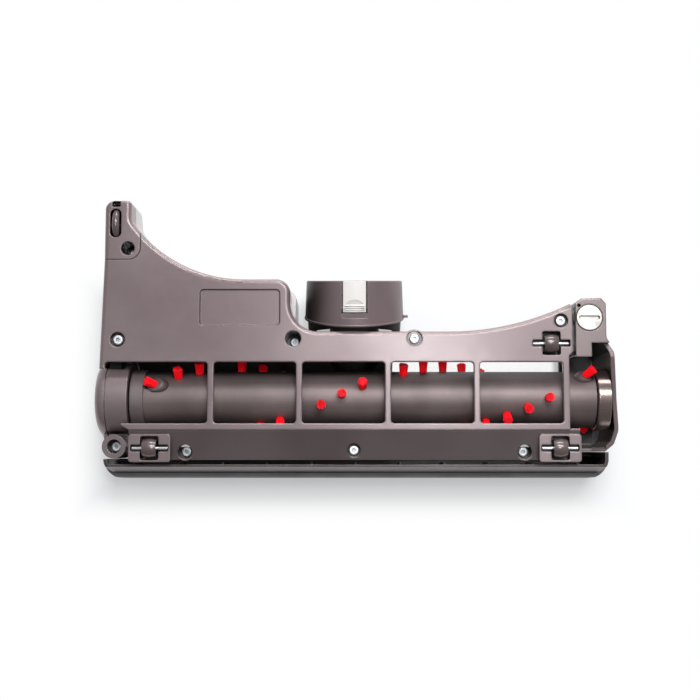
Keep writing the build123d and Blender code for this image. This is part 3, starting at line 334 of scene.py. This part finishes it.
def clearPlastic(name, look):
    # thin clear moulding: mostly see-through, shine kept, faint haze and flow marks; its dark part is painted
    # shade
    p = Paint(name)
    haze = p.noise(*look["haze"]).fade(*look["hazeFade"])
    marks = p.scratches(*look["scratches"])
    body = haze * look["hazeBody"] + marks * look["marksBody"]
    body = body + p.edges(look["rimEdge"]) * look["rimBody"] + look["body"]
    x, y = p.spot()[:2]
    duct = 1.0 - (x - look["ductX"]).fade(-look["ductSoft"], look["ductSoft"])
    hub = (x - look["hubX"]).fade(-look["hubSoft"], look["hubSoft"])
    dark = duct.most(hub) * (y - look["rearY"]).fade(-look["rearSoft"], look["rearSoft"])
    colour = p.blend(dark, p.blend(haze, look["low"], look["high"]), look["dark"])
    rough = haze * look["hazeRough"] + marks * look["marksRough"] + dark * look["darkRough"] + look["rough"]
    return p.finish(Base_Color=colour, Alpha=body.most(dark), Roughness=rough,
                    Normal=p.bump(p.noise(*look["flow"]), look["flowDepth"]))


# Rubber of the front strip and the belt
rubberLook = {
    "bloom": (50.0, 3.0), "bloomFade": (0.35, 0.7), "lines": (400.0, 2.0), "linesAlong": (0.05, 1.0, 1.0),
    "lineDepth": 0.6, "grain": (1800.0, 2.0), "grainDepth": 0.00003, "grainRough": 0.15,
    "edge": 0.0005, "edgeShare": 0.4}


def softRubber(name, **changes):
    # matt moulded rubber: grey bloom, faint pull lines along its length
    look = {**rubberLook, **changes}
    p = Paint(name)
    grain = p.noise(*look["grain"])
    lines = p.noise(*look["lines"], p.place(scale=look["linesAlong"]))
    colour = p.blend(p.noise(*look["bloom"]).fade(*look["bloomFade"]), look["low"], look["high"])
    colour = p.blend(p.edges(look["edge"]) * look["edgeShare"], colour, look["worn"])
    return p.finish(Base_Color=colour, Roughness=grain * look["grainRough"] + look["rough"],
                    Normal=p.bump(grain + lines * look["lineDepth"], look["grainDepth"]))


# Matt plastic of the hubs and the dark pieces
mattLook = {
    "drift": (60.0, 2.0), "driftFade": (0.3, 0.7), "dusts": (260.0, 4.0), "dustFade": (0.52, 0.72),
    "edge": 0.0004, "edgeShare": 0.3, "deep": (0.006, 0.25), "grain": (1600.0, 3.0), "grainRough": 0.14,
    "grainDepth": 0.00003, "corner": 0.0002}


def plainPlastic(name, **changes):
    # matt black or grey moulding with spark-eroded grain; painted shade in its hollows
    look = {**mattLook, **changes}
    p = Paint(name)
    grain = p.noise(*look["grain"])
    dust = p.noise(*look["dusts"]).fade(*look["dustFade"])
    colour = p.blend(p.noise(*look["drift"]).fade(*look["driftFade"]), look["low"], look["high"])
    colour = p.blend(dust * look["dust"], colour, look["worn"])
    colour = p.blend(p.edges(look["edge"]) * look["edgeShare"], colour, look["worn"])
    colour = p.scaled(colour, p.shadeInHollows(*look["deep"]))
    return p.finish(Base_Color=colour, Roughness=grain * look["grainRough"] + look["rough"],
                    Normal=p.bump(grain, look["grainDepth"], p.round(look["corner"])))


# Metals, with along the stretch of their turning lines
metalLook = {
    "lines": (1500.0, 2.0), "lineShare": 0.14, "even": 0.93, "lineRough": 0.1, "lineDepth": 0.000015,
    "stains": (200.0, 3.0), "stainFade": (0.45, 0.7), "stainShare": 0.5, "stainRough": 0.14,
    "deep": (0.0016, 0.06), "corner": 0.0002}


def turnedMetal(name, **changes):
    # bright metal: fine turning lines, light stains, painted shade in the corners
    look = {**metalLook, **changes}
    p = Paint(name)
    lines = p.noise(*look["lines"], p.place(scale=look["along"]))
    stain = p.noise(*look["stains"]).fade(*look["stainFade"])
    colour = p.blend(stain * look["stainShare"], look["high"], look["low"])
    colour = p.scaled(colour, lines * look["lineShare"] + look["even"])
    colour = p.scaled(colour, p.shadeInHollows(*look["deep"]))
    rough = stain * look["stainRough"] + lines * look["lineRough"] + look["rough"]
    return p.finish(Base_Color=colour, Metallic=look["metal"], Roughness=rough,
                    Normal=p.bump(lines, look["lineDepth"], p.round(look["corner"])))


# Control board
boardLook = {
    "low": tone(24, 92, 52), "high": tone(58, 128, 74), "turn": (0.0, 0.0, 0.4), "tracks": 140.0,
    "rows": {"offset": 0.35, "squash": 0.7}, "gap": 0.05, "gapSoft": 0.2, "trackDepth": 0.00004,
    "blotches": (300.0, 2.0), "blotchShare": 0.2, "even": 0.9, "rough": 0.32}


def lacqueredBoard(name, look):
    # green lacquer over copper tracks
    p = Paint(name)
    tracks = p.add("ShaderNodeTexBrick", look["rows"],
                   {"Vector": p.place(turn=look["turn"]), "Scale": look["tracks"],
                    "Mortar Size": look["gap"], "Mortar Smooth": look["gapSoft"]}, "Fac")
    colour = p.blend(tracks, look["low"], look["high"])
    colour = p.scaled(colour, p.noise(*look["blotches"]) * look["blotchShare"] + look["even"])
    return p.finish(Base_Color=colour, Roughness=look["rough"], Normal=p.bump(tracks, look["trackDepth"]))


# Finishes
# painted shade in the gap beside the end cap and in the gap before the bumper; dark lines along the seam
# round the arm's tip cover and the edge of the bare label recess
capGapShade = {"x": 0.11675, "y": -0.0135, "half": (0.0, 0.0305), "corner": 0.0, "width": 0.0008, "dark": 0.02}
bumperGapShade = {"x": 0.0, "y": -0.0664, "half": (0.118, 0.0), "corner": 0.0, "width": 0.0011, "dark": 0.04}
tipSeam = {"x": -0.11565, "y": 0.041, "corner": 0.0065, "width": 0.00034, "dark": 0.08}
labelEdge = {"x": -0.062, "y": 0.0152, "half": (0.0213, 0.00955), "corner": 0.002, "width": 0.00042,
             "dark": 0.12}
# painted shade on the lower front strip and inside the end cap
frontLedgeShade = {"z": 0.0509, "softZ": 0.0003, "y": -0.0503, "softY": 0.0006, "dark": 0.4}
capInsideShade = {"mid": (0.1262, -0.0312), "half": (0.0091, 0.0286), "softSide": 0.0002, "top": 0.0492,
             "softTop": 0.002, "dark": 0.97}
finishes = {
    "shell": shellPlastic("pearl_shell"),
    # sole: painted highlight on its rear-rounded edges, painted shade on its lower front strip
    "sole": shellPlastic("pearl_sole", lines=[capGapShade, tipSeam, labelEdge], ledge=frontLedgeShade, edge=0.001,
                         sheen=0.25),
    # bumper: the pearl plastic made darker, painted shade for its shaded front
    "bumper": shellPlastic("pearl_bumper_shaded", low=tone(62, 55, 57), high=tone(73, 65, 67), deep=0.03,
                           lines=[bumperGapShade]),
    # cap: painted highlight on its rear-rounded edges, painted shade inside
    "cap": shellPlastic("pearl_cap", low=tone(116, 103, 104), high=tone(129, 116, 117), deep=0.03, well=0.02,
                        wellFade=(0.16, 0.5), lines=[capGapShade], edge=0.001, sheen=0.2, cave=capInsideShade),
    # cuff: painted shade on its left-facing side
    "cuff": shellPlastic("pearl_cuff", low=tone(112, 98, 100), high=tone(132, 116, 119), rough=0.32, coat=0.1,
                         shade=0.85),
    "bell": shellPlastic("pearl_bell", low=tone(124, 109, 105), high=tone(142, 126, 122), rough=0.14,
                         metal=0.85, well=0.6),
    "wheel": shellPlastic("wheel_plastic", low=tone(88, 74, 74), high=tone(104, 89, 89), rough=0.2, metal=0.2,
                          coat=0.8),
    "silver": shellPlastic("silver_shell", low=tone(176, 172, 172), high=tone(200, 197, 196),
                           worn=tone(236, 234, 232), flake=0.10, rub=0.4, rough=0.24, metal=0.55, coat=0.3),
    "clip": shellPlastic("silver_clip", low=tone(236, 231, 228), high=tone(249, 246, 243),
                         worn=tone(252, 250, 248), flake=0.08, rub=0.2, rough=0.3, metal=0.1, deep=0.45,
                         well=0.8),
    "clear": clearPlastic("clear_moulding", clearLook),
    "strip": softRubber("front_rubber", low=tone(98, 98, 98), high=tone(112, 112, 113),
                        worn=tone(150, 150, 150), rough=0.5),
    "belt": softRubber("belt_rubber", low=tone(30, 30, 31), high=tone(44, 44, 45), worn=tone(80, 78, 76),
                       rough=0.6),
    "bar": barMetal("bar_tube", tubeLook),
    "hub": plainPlastic("hub_plastic", low=tone(96, 86, 87), high=tone(114, 103, 104),
                        worn=tone(160, 150, 148), dust=0.08, rough=0.4),
    "dark": plainPlastic("dark_plastic", low=tone(30, 28, 28), high=tone(42, 40, 40), worn=tone(100, 96, 94),
                         dust=0.15, rough=0.45),
    "steel": turnedMetal("bright_steel", low=tone(168, 172, 178), high=tone(226, 230, 236), rough=0.24,
                         metal=0.8, along=(0.1, 1.0, 1.0)),
    "screw": turnedMetal("screw_zinc", low=tone(196, 202, 210), high=tone(238, 243, 248), rough=0.3,
                         metal=0.55, along=(1.0, 0.3, 1.0)),
    "fastener": turnedMetal("cast_fastener", low=tone(184, 181, 177), high=tone(206, 203, 199), rough=0.36,
                            metal=0.55, along=(0.15, 1.0, 1.0)),
    "bronze": turnedMetal("sintered_bronze", low=tone(128, 96, 60), high=tone(170, 132, 86), rough=0.34,
                          metal=1.0, along=(1.0, 0.2, 0.2)),
    "motor": turnedMetal("zinc_can", low=tone(120, 121, 124), high=tone(164, 165, 168), rough=0.3, metal=1.0,
                         along=(0.08, 1.0, 1.0)),
    "board": lacqueredBoard("board_lacquer", boardLook),
    "bristle": bristleNylon("red_nylon", nylonLook),
}
wear = {
    "soleplate": "sole", "arm_tip_cover": "sole", "front_bumper": "bumper", "belt_cover": "shell",
    "end_cap": "cap", "clear_chamber_cover": "clear", "bumper_strip": "strip", "motor_cover": "silver",
    "motor_body": "motor", "motor_bracket": "dark", "drive_belt": "belt", "circuit_board": "board",
    "terminal_block": "dark", "neck_cradle": "dark", "neck_pivot_pins": "steel", "suction_hose": "dark",
    "drive_bearing": "bronze", "end_bell": "bell", "end_bearing": "bronze", "axle_front_left": "steel",
    "axle_front_right": "steel", "axle_rear_right": "steel", "axle_arm": "steel",
    "soleplate_screws": "screw", "cover_screws": "screw", "brush_core": "bar", "drive_hub": "hub",
    "end_plug": "hub", "brush_pulley": "dark", "motor_shaft": "steel", "motor_pulley": "steel",
    "wheel_front_left": "wheel", "wheel_front_right": "wheel", "wheel_rear_right": "wheel",
    "wheel_arm": "wheel", "end_cap_fastener": "fastener", "neck_ring": "shell", "neck_cuff": "cuff",
    "clip_pin": "dark", "release_clip": "clip",
}
for name, finishName in wear.items():
    mesh = nodes[name].data
    mesh.materials.clear()
    mesh.materials.append(finishes[finishName])
print("finishes laid on", len(wear), "nodes")


# Meshes
def newObject(name, mesh):
    thing = bpy.data.objects.new(name, mesh)
    bpy.context.scene.collection.objects.link(thing)
    return thing


def newMesh(name, verts, faces, finish, smooth):
    mesh = bpy.data.meshes.new(name)
    mesh.from_pydata(verts.tolist(), [], faces)
    mesh.polygons.foreach_set("use_smooth", np.full(len(mesh.polygons), smooth))
    mesh.materials.append(finish)
    mesh.update()
    return mesh


def ringFaces(rows, columns):
    # face (i, j) joins points j and j + 1 of ring i to those of ring i + 1; the last column joins the first
    i, j = (grid.ravel() for grid in np.meshgrid(np.arange(rows - 1), np.arange(columns), indexing="ij"))
    k = (j + 1) % columns
    return np.stack([i * columns + j, i * columns + k, (i + 1) * columns + k, (i + 1) * columns + j], 1)


def ringMesh(name, rings, finish, ended):
    # rings of points joined one to the next; an ended one is closed by a point in the middle of each end
    rows, columns = len(rings), len(rings[0])
    faces = ringFaces(rows, columns).tolist()
    if ended:
        j = np.arange(columns)
        k, lastRow, foot = (j + 1) % columns, (rows - 1) * columns, np.full(columns, rows * columns)
        faces += np.stack([k, j, foot], 1).tolist()
        faces += np.stack([j + lastRow, k + lastRow, foot + 1], 1).tolist()
        rings = rings + [np.mean(rings[0], 0)[None], np.mean(rings[-1], 0)[None]]
    return newObject(name, newMesh(name, np.concatenate(rings), faces, finish, True))


def ramp(value, start, end):
    # 0 at start, 1 at end, straight between
    return np.clip((value - start) / (end - start), 0, 1)


# Bristle tufts
tufts = {"axis": (-0.0333, 0.0315), "barR": 0.01535, "tipR": 0.0216, "sink": 0.0016,
         "steps": (-8, 12), "pitch": 0.01105, "turn": 17.4, "startX": -0.0075, "startTurn": 7.7,
         "bridges": (-0.0773, -0.0303, 0.017, 0.0643, 0.11175), "bridgeGap": 0.00445,
         "ends": ((-0.1049, 28.0, -50.0), (0.1215, 50.0, 42.0)), "leaning": 0.1, "leaningLength": 1.25,
         "strands": 85, "strandR": 0.0003, "sides": 5, "taper": (1.0, 1.0, 0.8), "goldenTurn": 2.39996,
         "rootR": 0.0020, "flareR": 0.00262, "flarePower": 1.5, "sideways": (1.0, 0.2, 0.0),
         "wander": 0.05, "shorter": 0.05, "bend": 0.00008, "seed": 40,
         "rows": {"bristle_row_a": 0.0, "bristle_row_b": 180.0}}


def tuftPlaces(half):
    # x, turn and lean of each tuft: the wound row but for those under the bridges, then the two end tufts
    steps = np.arange(*tufts["steps"])
    xs = tufts["startX"] + steps * tufts["pitch"]
    wound = np.stack([xs, tufts["startTurn"] + steps * tufts["turn"] + half, np.zeros_like(xs)], 1)
    clear = np.min(np.abs(xs[:, None] - np.array(tufts["bridges"])), axis=1) > tufts["bridgeGap"]
    ends = np.array([(x, angle + half, lean) for x, angle, lean in tufts["ends"]])
    x, turn, lean = np.concatenate([wound[clear], ends]).T
    return x, np.radians(turn), np.radians(lean)


def tuftWays(x, turn, lean):
    # root on the bar, way out along the strands and two directions across them, a row for each tuft
    outY, outZ = np.sin(turn), np.cos(turn)
    way = np.stack([np.sin(lean), outY * np.cos(lean), outZ * np.cos(lean)], 1)
    (axisY, axisZ), rootR = tufts["axis"], tufts["barR"] - tufts["sink"]
    root = np.stack([x, axisY + rootR * outY, axisZ + rootR * outZ], 1)
    side = np.cross(way, np.array(tufts["sideways"]))
    side /= np.linalg.norm(side, axis=1)[:, None]
    return root, way, side, np.cross(way, side)


def strandSpots(rng, count):
    # sunflower packing in a disc of radius 1: r = sqrt(k / n), angle = k * goldenTurn, each a little astray
    k = np.arange(tufts["strands"])
    r, angle = np.sqrt((k + 0.5) / tufts["strands"]), k * tufts["goldenTurn"]
    even = np.stack([r * np.cos(angle), r * np.sin(angle)], 1)
    return even[None] + rng.normal(0, tufts["wander"], (count, tufts["strands"], 2))


def strandCentres(rng, ways, lean, v):
    # centre of strand k at v = root + v * length * way + width(v) * spot_k + v * v * bend_k,
    # where width grows from rootR to flareR and the leaning tufts are longer
    root, way, side, other = ways
    count, strands = len(lean), tufts["strands"]
    spot = strandSpots(rng, count)
    full = tufts["tipR"] - tufts["barR"] + tufts["sink"]
    length = full * (1 - tufts["shorter"] * rng.random((count, strands)))
    length = np.where(np.abs(lean)[:, None] > tufts["leaning"], length * tufts["leaningLength"], length)
    flare = tufts["flareR"] - tufts["rootR"]
    width = tufts["rootR"] + flare * v ** tufts["flarePower"] - tufts["strandR"]
    bend = rng.normal(0, tufts["bend"], (count, strands, 2))
    offset = spot[:, :, None, :] * width[:, None] + bend[:, :, None, :] * (v ** 2)[:, None]
    return (root[:, None, None, :] + way[:, None, None, :] * (length[:, :, None] * v)[..., None]
            + side[:, None, None, :] * offset[..., :1] + other[:, None, None, :] * offset[..., 1:])


def tuftBundle(name, half, seed):
    # round each strand's centres stand rings of points, of radius strandR * taper, closed at the tip
    rng = np.random.default_rng(seed)
    x, turn, lean = tuftPlaces(half)
    ways = tuftWays(x, turn, lean)
    side, other = ways[2:]
    count, strands, sides, rows = len(x), tufts["strands"], tufts["sides"], len(tufts["taper"])
    v = np.linspace(0, 1, rows)
    centre = strandCentres(rng, ways, lean, v)
    q = np.arange(sides) * 2 * math.pi / sides
    ring = side[:, None] * np.cos(q)[:, None] + other[:, None] * np.sin(q)[:, None]
    thick = tufts["strandR"] * np.array(tufts["taper"])
    verts = centre[:, :, :, None, :] + ring[:, None, None] * thick[:, None, None]
    base = (np.arange(count * strands) * rows * sides)[:, None]
    walls = (base[:, None] + ringFaces(rows, sides)).reshape(-1, 4)
    tops = base + (rows - 1) * sides + np.arange(sides)
    mesh = newMesh(name, verts.reshape(-1, 3), walls.tolist() + tops.tolist(), finishes["bristle"], False)
    marks = {"reach": v[:, None], "strand": rng.random((count, strands))[:, :, None, None]}
    for label, values in marks.items():
        spread = np.broadcast_to(values, (count, strands, rows, sides)).reshape(-1)
        mesh.attributes.new(label, "FLOAT", "POINT").data.foreach_set("value", spread.astype(np.float32))
    return newObject(name, mesh)


for number, (node, half) in enumerate(tufts["rows"].items()):
    bundle = tuftBundle(node.replace("row", "bundles"), half, tufts["seed"] + number)
    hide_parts(node)
    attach(bundle, "brush_bar")
print("tufts made")


# Seats of the leaning tufts
seat = {"radius": 0.0041, "rise": 0.0011, "tilt": 0.0017, "edge": 0.00035, "edgeShare": 0.3, "middle": 0.5,
        "depth": 0.006, "columns": 40}


def tuftSeat(name, x, turn, lean):
    # stub round the tuft: point(r, a) = foot + s * way + r * (cos a * away + sin a * other);
    # s is chosen so that its face climbs by tilt away from the lean
    turn, lean = math.radians(turn), math.radians(lean)
    out = np.array([0.0, math.sin(turn), math.cos(turn)])
    along = np.array([1.0, 0.0, 0.0])
    way = along * math.sin(lean) + out * math.cos(lean)
    away = (out * math.sin(lean) - along * math.cos(lean)) * math.copysign(1.0, lean)
    other = np.cross(way, away)
    foot = np.array([x, *tufts["axis"]]) + out * tufts["barR"] + along * math.tan(lean) * tufts["sink"]
    a = np.linspace(0, 2 * math.pi, seat["columns"], endpoint=False)
    climb = seat["tilt"] / seat["radius"] - math.sin(abs(lean))

    def loop(r, drop):
        q = r * np.cos(a)
        s = (seat["rise"] + q * climb) / math.cos(lean) - drop
        return foot + s[:, None] * way + q[:, None] * away + (r * np.sin(a))[:, None] * other

    r, edge, bevel = seat["radius"], seat["edge"], seat["edge"] * seat["edgeShare"]
    rings = [loop(r, seat["depth"]), loop(r, edge), loop(r - bevel, bevel), loop(r - edge, 0.0),
             loop(r * seat["middle"], 0.0)]
    return ringMesh(name, rings, finishes["bar"], True)


for node, half in tufts["rows"].items():
    for side, (x, turn, lean) in zip(("left", "right"), tufts["ends"]):
        stub = tuftSeat(node.replace("bristle_row", "tuft_seat_" + side), x, turn + half, lean)
        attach(stub, "brush_bar")
print("tuft seats made")


# Cuff
# reach runs along the neck from its hinge, height up from its axis; rim is (radius, reach) round its section
neck = {"hinge": (-0.0008, 0.0, 0.02493), "tilt": 11.0, "columns": 160,
        "topHeight": 0.0273, "rearTilt": 8.5, "rearBlend": (0.030, 0.0335),
        "frontCut": 0.0027, "frontBlend": (0.0098, 0.0160),
        "rim": ((0.0264, 0.0096), (0.0273, 0.0096), (0.0276, 0.0099), (0.0276, 0.0106), (0.0273, 0.0109),
                (0.0264, 0.0110)),
        "sleeveR": 0.0258, "sleeveWall": 0.0012, "sleeveEnd": 0.018, "sleeveFade": (0.0, 0.25),
        "sleeveY": (0.0032, 0.0039), "sleeveZ": (0.031, 0.037)}
neckWay = np.array([0.0, math.cos(math.radians(neck["tilt"])), math.sin(math.radians(neck["tilt"]))])
neckUp = np.array([0.0, -neckWay[2], neckWay[1]])


def neckLoop(radius, reach):
    # loop(a) = hinge + reach(a) * way + radius * (cos a * x + sin a * up)
    a = np.linspace(0, 2 * math.pi, neck["columns"], endpoint=False)
    spread = np.cos(a)[:, None] * np.array([1.0, 0.0, 0.0]) + np.sin(a)[:, None] * neckUp
    return np.array(neck["hinge"]) + reach(a)[:, None] * neckWay + radius * spread


def cuffShift(reach, height):
    # the rear end follows the line of sight at rearTilt, and the front rim is cut back towards its underside
    rear = ramp(reach, *neck["rearBlend"]) * math.sin(math.radians(neck["tilt"] - neck["rearTilt"]))
    front = ramp(reach, *neck["frontBlend"][::-1]) * neck["frontCut"]
    return front * (1 - height / neck["topHeight"]) - rear * (neck["topHeight"] - height)


# the cuff's own moulding, each point moved along the neck by cuffShift
cuffMesh = nodes["neck_cuff"].data.copy()
cuffMesh.name = "cuff_shell"
spots = np.empty(len(cuffMesh.vertices) * 3)
cuffMesh.vertices.foreach_get("co", spots)
spots = spots.reshape(-1, 3)
local = spots - np.array(neck["hinge"])
spots = spots + cuffShift(local @ neckWay, local @ neckUp)[:, None] * neckWay
cuffMesh.vertices.foreach_set("co", spots.ravel())
cuffMesh.update()
cuffShell = newObject("cuff_shell", cuffMesh)
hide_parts("neck_cuff")
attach(cuffShell, "cuff")


# thin flange round the cuff's front rim
def rimLoop(radius, reach):
    return neckLoop(radius, lambda a: reach + neck["frontCut"] * (1 - np.sin(a)))


rimRings = [rimLoop(radius, reach) for radius, reach in neck["rim"]]
lip = ringMesh("cuff_rim", rimRings + rimRings[:1], finishes["cuff"], False)
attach(lip, "cuff")


# dark sleeve between the cuff and the sole: a dark sheet as painted shade where the neck's inside lies in
# shadow
def sleeveEnd(a):
    return np.full(len(a), neck["sleeveEnd"])


def sleeveStart(a):
    # its y is sleeveY[0] up to the height sleeveZ[0] and sleeveY[1] from sleeveZ[1] on, which keeps it behind
    # the sole; the lower half is left short
    z = neck["hinge"][2] + neck["sleeveR"] * np.sin(a)
    y = neck["sleeveY"][0] + ramp(z, *neck["sleeveZ"]) * (neck["sleeveY"][1] - neck["sleeveY"][0])
    start = (y + neck["sleeveR"] * np.sin(a) * neckWay[2]) / neckWay[1]
    back = neck["sleeveEnd"] - neck["sleeveWall"]
    return back - ramp(np.sin(a), *neck["sleeveFade"]) * (back - start)


sleeveR, boreR = neck["sleeveR"], neck["sleeveR"] - neck["sleeveWall"]
sleeveRings = [neckLoop(boreR, sleeveEnd), neckLoop(boreR, sleeveStart), neckLoop(sleeveR, sleeveStart),
               neckLoop(sleeveR, sleeveEnd)]
shadeSleeve = ringMesh("neck_shade_sleeve", sleeveRings + sleeveRings[:1], finishes["dark"], False)
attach(shadeSleeve, "neck")
print("cuff made")

# Dark sheet in the hose's mouth behind the bar, painted shade for the shaded inside of the mouth
shadeSheet = {"x": (-0.0345, 0.0205), "radius": 0.0260, "thick": 0.0008, "bevel": 0.0003, "turn": (-70.0, 38.0),
        "rows": 28}


def shadeSheetLoop(x, inset):
    # point(t) = (x, axisY + r * cos t, axisZ + r * sin t), out along the outer r and back along the inner one
    turn = np.radians(np.linspace(*shadeSheet["turn"], shadeSheet["rows"]))
    t = np.concatenate([turn, turn[::-1]])
    r = np.repeat([shadeSheet["radius"] + shadeSheet["thick"] - inset, shadeSheet["radius"] + inset], shadeSheet["rows"])
    axisY, axisZ = tufts["axis"]
    return np.stack([np.full(len(t), x), r * np.cos(t) + axisY, r * np.sin(t) + axisZ], 1)


lowX, highX = shadeSheet["x"]
shadeSheetRings = [shadeSheetLoop(lowX, shadeSheet["bevel"]), shadeSheetLoop(lowX, 0.0), shadeSheetLoop(highX, 0.0),
             shadeSheetLoop(highX, shadeSheet["bevel"])]
mouthShadeSheet = ringMesh("hose_mouth_shade_sheet", shadeSheetRings, finishes["dark"], False)
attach(mouthShadeSheet, "housing")
print("hose mouth made")


# Studio
white = (1.0, 1.0, 1.0, 1.0)
studio = {"floorZ": -0.0003, "floorSize": 3.0, "floorTone": 0.96, "floorTint": (0.96, 0.985, 1.02),
          "floorClouds": (3.0, 2.0), "floorDrift": 0.01, "floorGlow": 0.4,
          "far": {"mid": (0.0, -0.03), "half": (0.138, 0.0465), "fade": (0.002, 0.028)},
          # painted light: a patch of floor under the clear cover made plain white
          "paintedLightPatch": {"mid": (0.067, -0.008), "half": (0.047, 0.012), "fade": (-0.002, 0.002)},
          "sky": 0.34, "skyLean": (0.05, 0.16),
          "lamps": {"rear_box": ((0.16, 0.46, 1.0), (0.56, 0.26), 6.9),
                    "top_box": ((0.1, 0.085, 1.1), (0.2, 0.09), 1.8),
                    "low_box": ((0.12, 1.08, 0.46), (0.7, 0.24), 5.0)}}


def floorPaint(name, look):
    # pale matt table; camera, mirror and see-through rays get part of plain white, all of it
    # away from the head, and in a patch under the clear cover as painted light where the head's shadow falls
    p = Paint(name)
    seen = [p.add("ShaderNodeLightPath", {}, {}, key)
            for key in ("Is Camera Ray", "Is Glossy Ray", "Is Transmission Ray")]
    shade = p.noise(*look["floorClouds"]) * look["floorDrift"] + (look["floorTone"] - look["floorDrift"] / 2)
    tinted = {place: shade * tint for place, tint in enumerate(look["floorTint"])}
    matt = p.add("ShaderNodeBsdfDiffuse", {}, {"Color": p.add("ShaderNodeCombineColor", {}, tinted)})
    glow = p.add("ShaderNodeEmission", {}, {"Color": white, "Strength": 1.0})
    far = p.outside(look["far"]["mid"], look["far"]["half"]).fade(*look["far"]["fade"])
    paintedLightPatch = 1.0 - p.outside(look["paintedLightPatch"]["mid"], look["paintedLightPatch"]["half"]).fade(*look["paintedLightPatch"]["fade"])
    glowing = far.most(paintedLightPatch) * (1.0 - look["floorGlow"]) + look["floorGlow"]
    share = (seen[0] + seen[1] + seen[2]).least(1.0) * glowing
    return p.show(p.add("ShaderNodeMixShader", {}, {0: share, 1: matt, 2: glow}))


def skyPaint(name, world, look):
    # soft surround, brighter towards the rear and the right; plain white where the camera sees it
    p = Paint(name, world)
    way = p.add("ShaderNodeTexCoord", {}, {}, "Generated")
    lean = p.part(way, "X") * look["skyLean"][0] + p.part(way, "Y") * look["skyLean"][1] + look["sky"]
    soft = p.add("ShaderNodeBackground", {}, {"Color": white, "Strength": lean})
    plain = p.add("ShaderNodeBackground", {}, {"Color": white, "Strength": 1.0})
    seen = p.add("ShaderNodeLightPath", {}, {}, "Is Camera Ray")
    p.show(p.add("ShaderNodeMixShader", {}, {0: seen, 1: soft, 2: plain}))


half = studio["floorSize"] / 2
corners = np.array([(-half, -half, 0), (half, -half, 0), (half, half, 0), (-half, half, 0)])
corners = corners + (0, 0, studio["floorZ"])
tableMesh = newMesh("table_top", corners, [(0, 1, 2, 3)], floorPaint("pale_table", studio), False)
table = newObject("table_top", tableMesh)

scene = bpy.context.scene
scene.world = scene.world or bpy.data.worlds.new("surround")
skyPaint("surround", scene.world, studio)

for name, (spot, size, power) in studio["lamps"].items():
    lamp = bpy.data.lights.new(name, "AREA")
    lamp.shape = "RECTANGLE"
    lamp.size, lamp.size_y = size
    lamp.energy = power
    thing = newObject(name, lamp)
    thing.location = spot
    aim = -np.array(spot) / np.linalg.norm(spot)
    thing.rotation_euler = (math.acos(-aim[2]), 0.0, math.atan2(aim[1], aim[0]) - math.pi / 2)

view = {"spot": (-0.003186, -0.05998, 0.64972), "tilt": 5.0, "lens": 58.011, "sensor": 36.0, "near": 0.01}
camera = bpy.data.cameras.new("photo_view")
camera.sensor_width = view["sensor"]
camera.lens = view["lens"]
camera.clip_start = view["near"]
eye = newObject("photo_view", camera)
eye.location = view["spot"]
eye.rotation_euler = (math.radians(view["tilt"]), 0.0, 0.0)
scene.camera = eye
scene.view_settings.view_transform = "Standard"
print("studio and camera set")
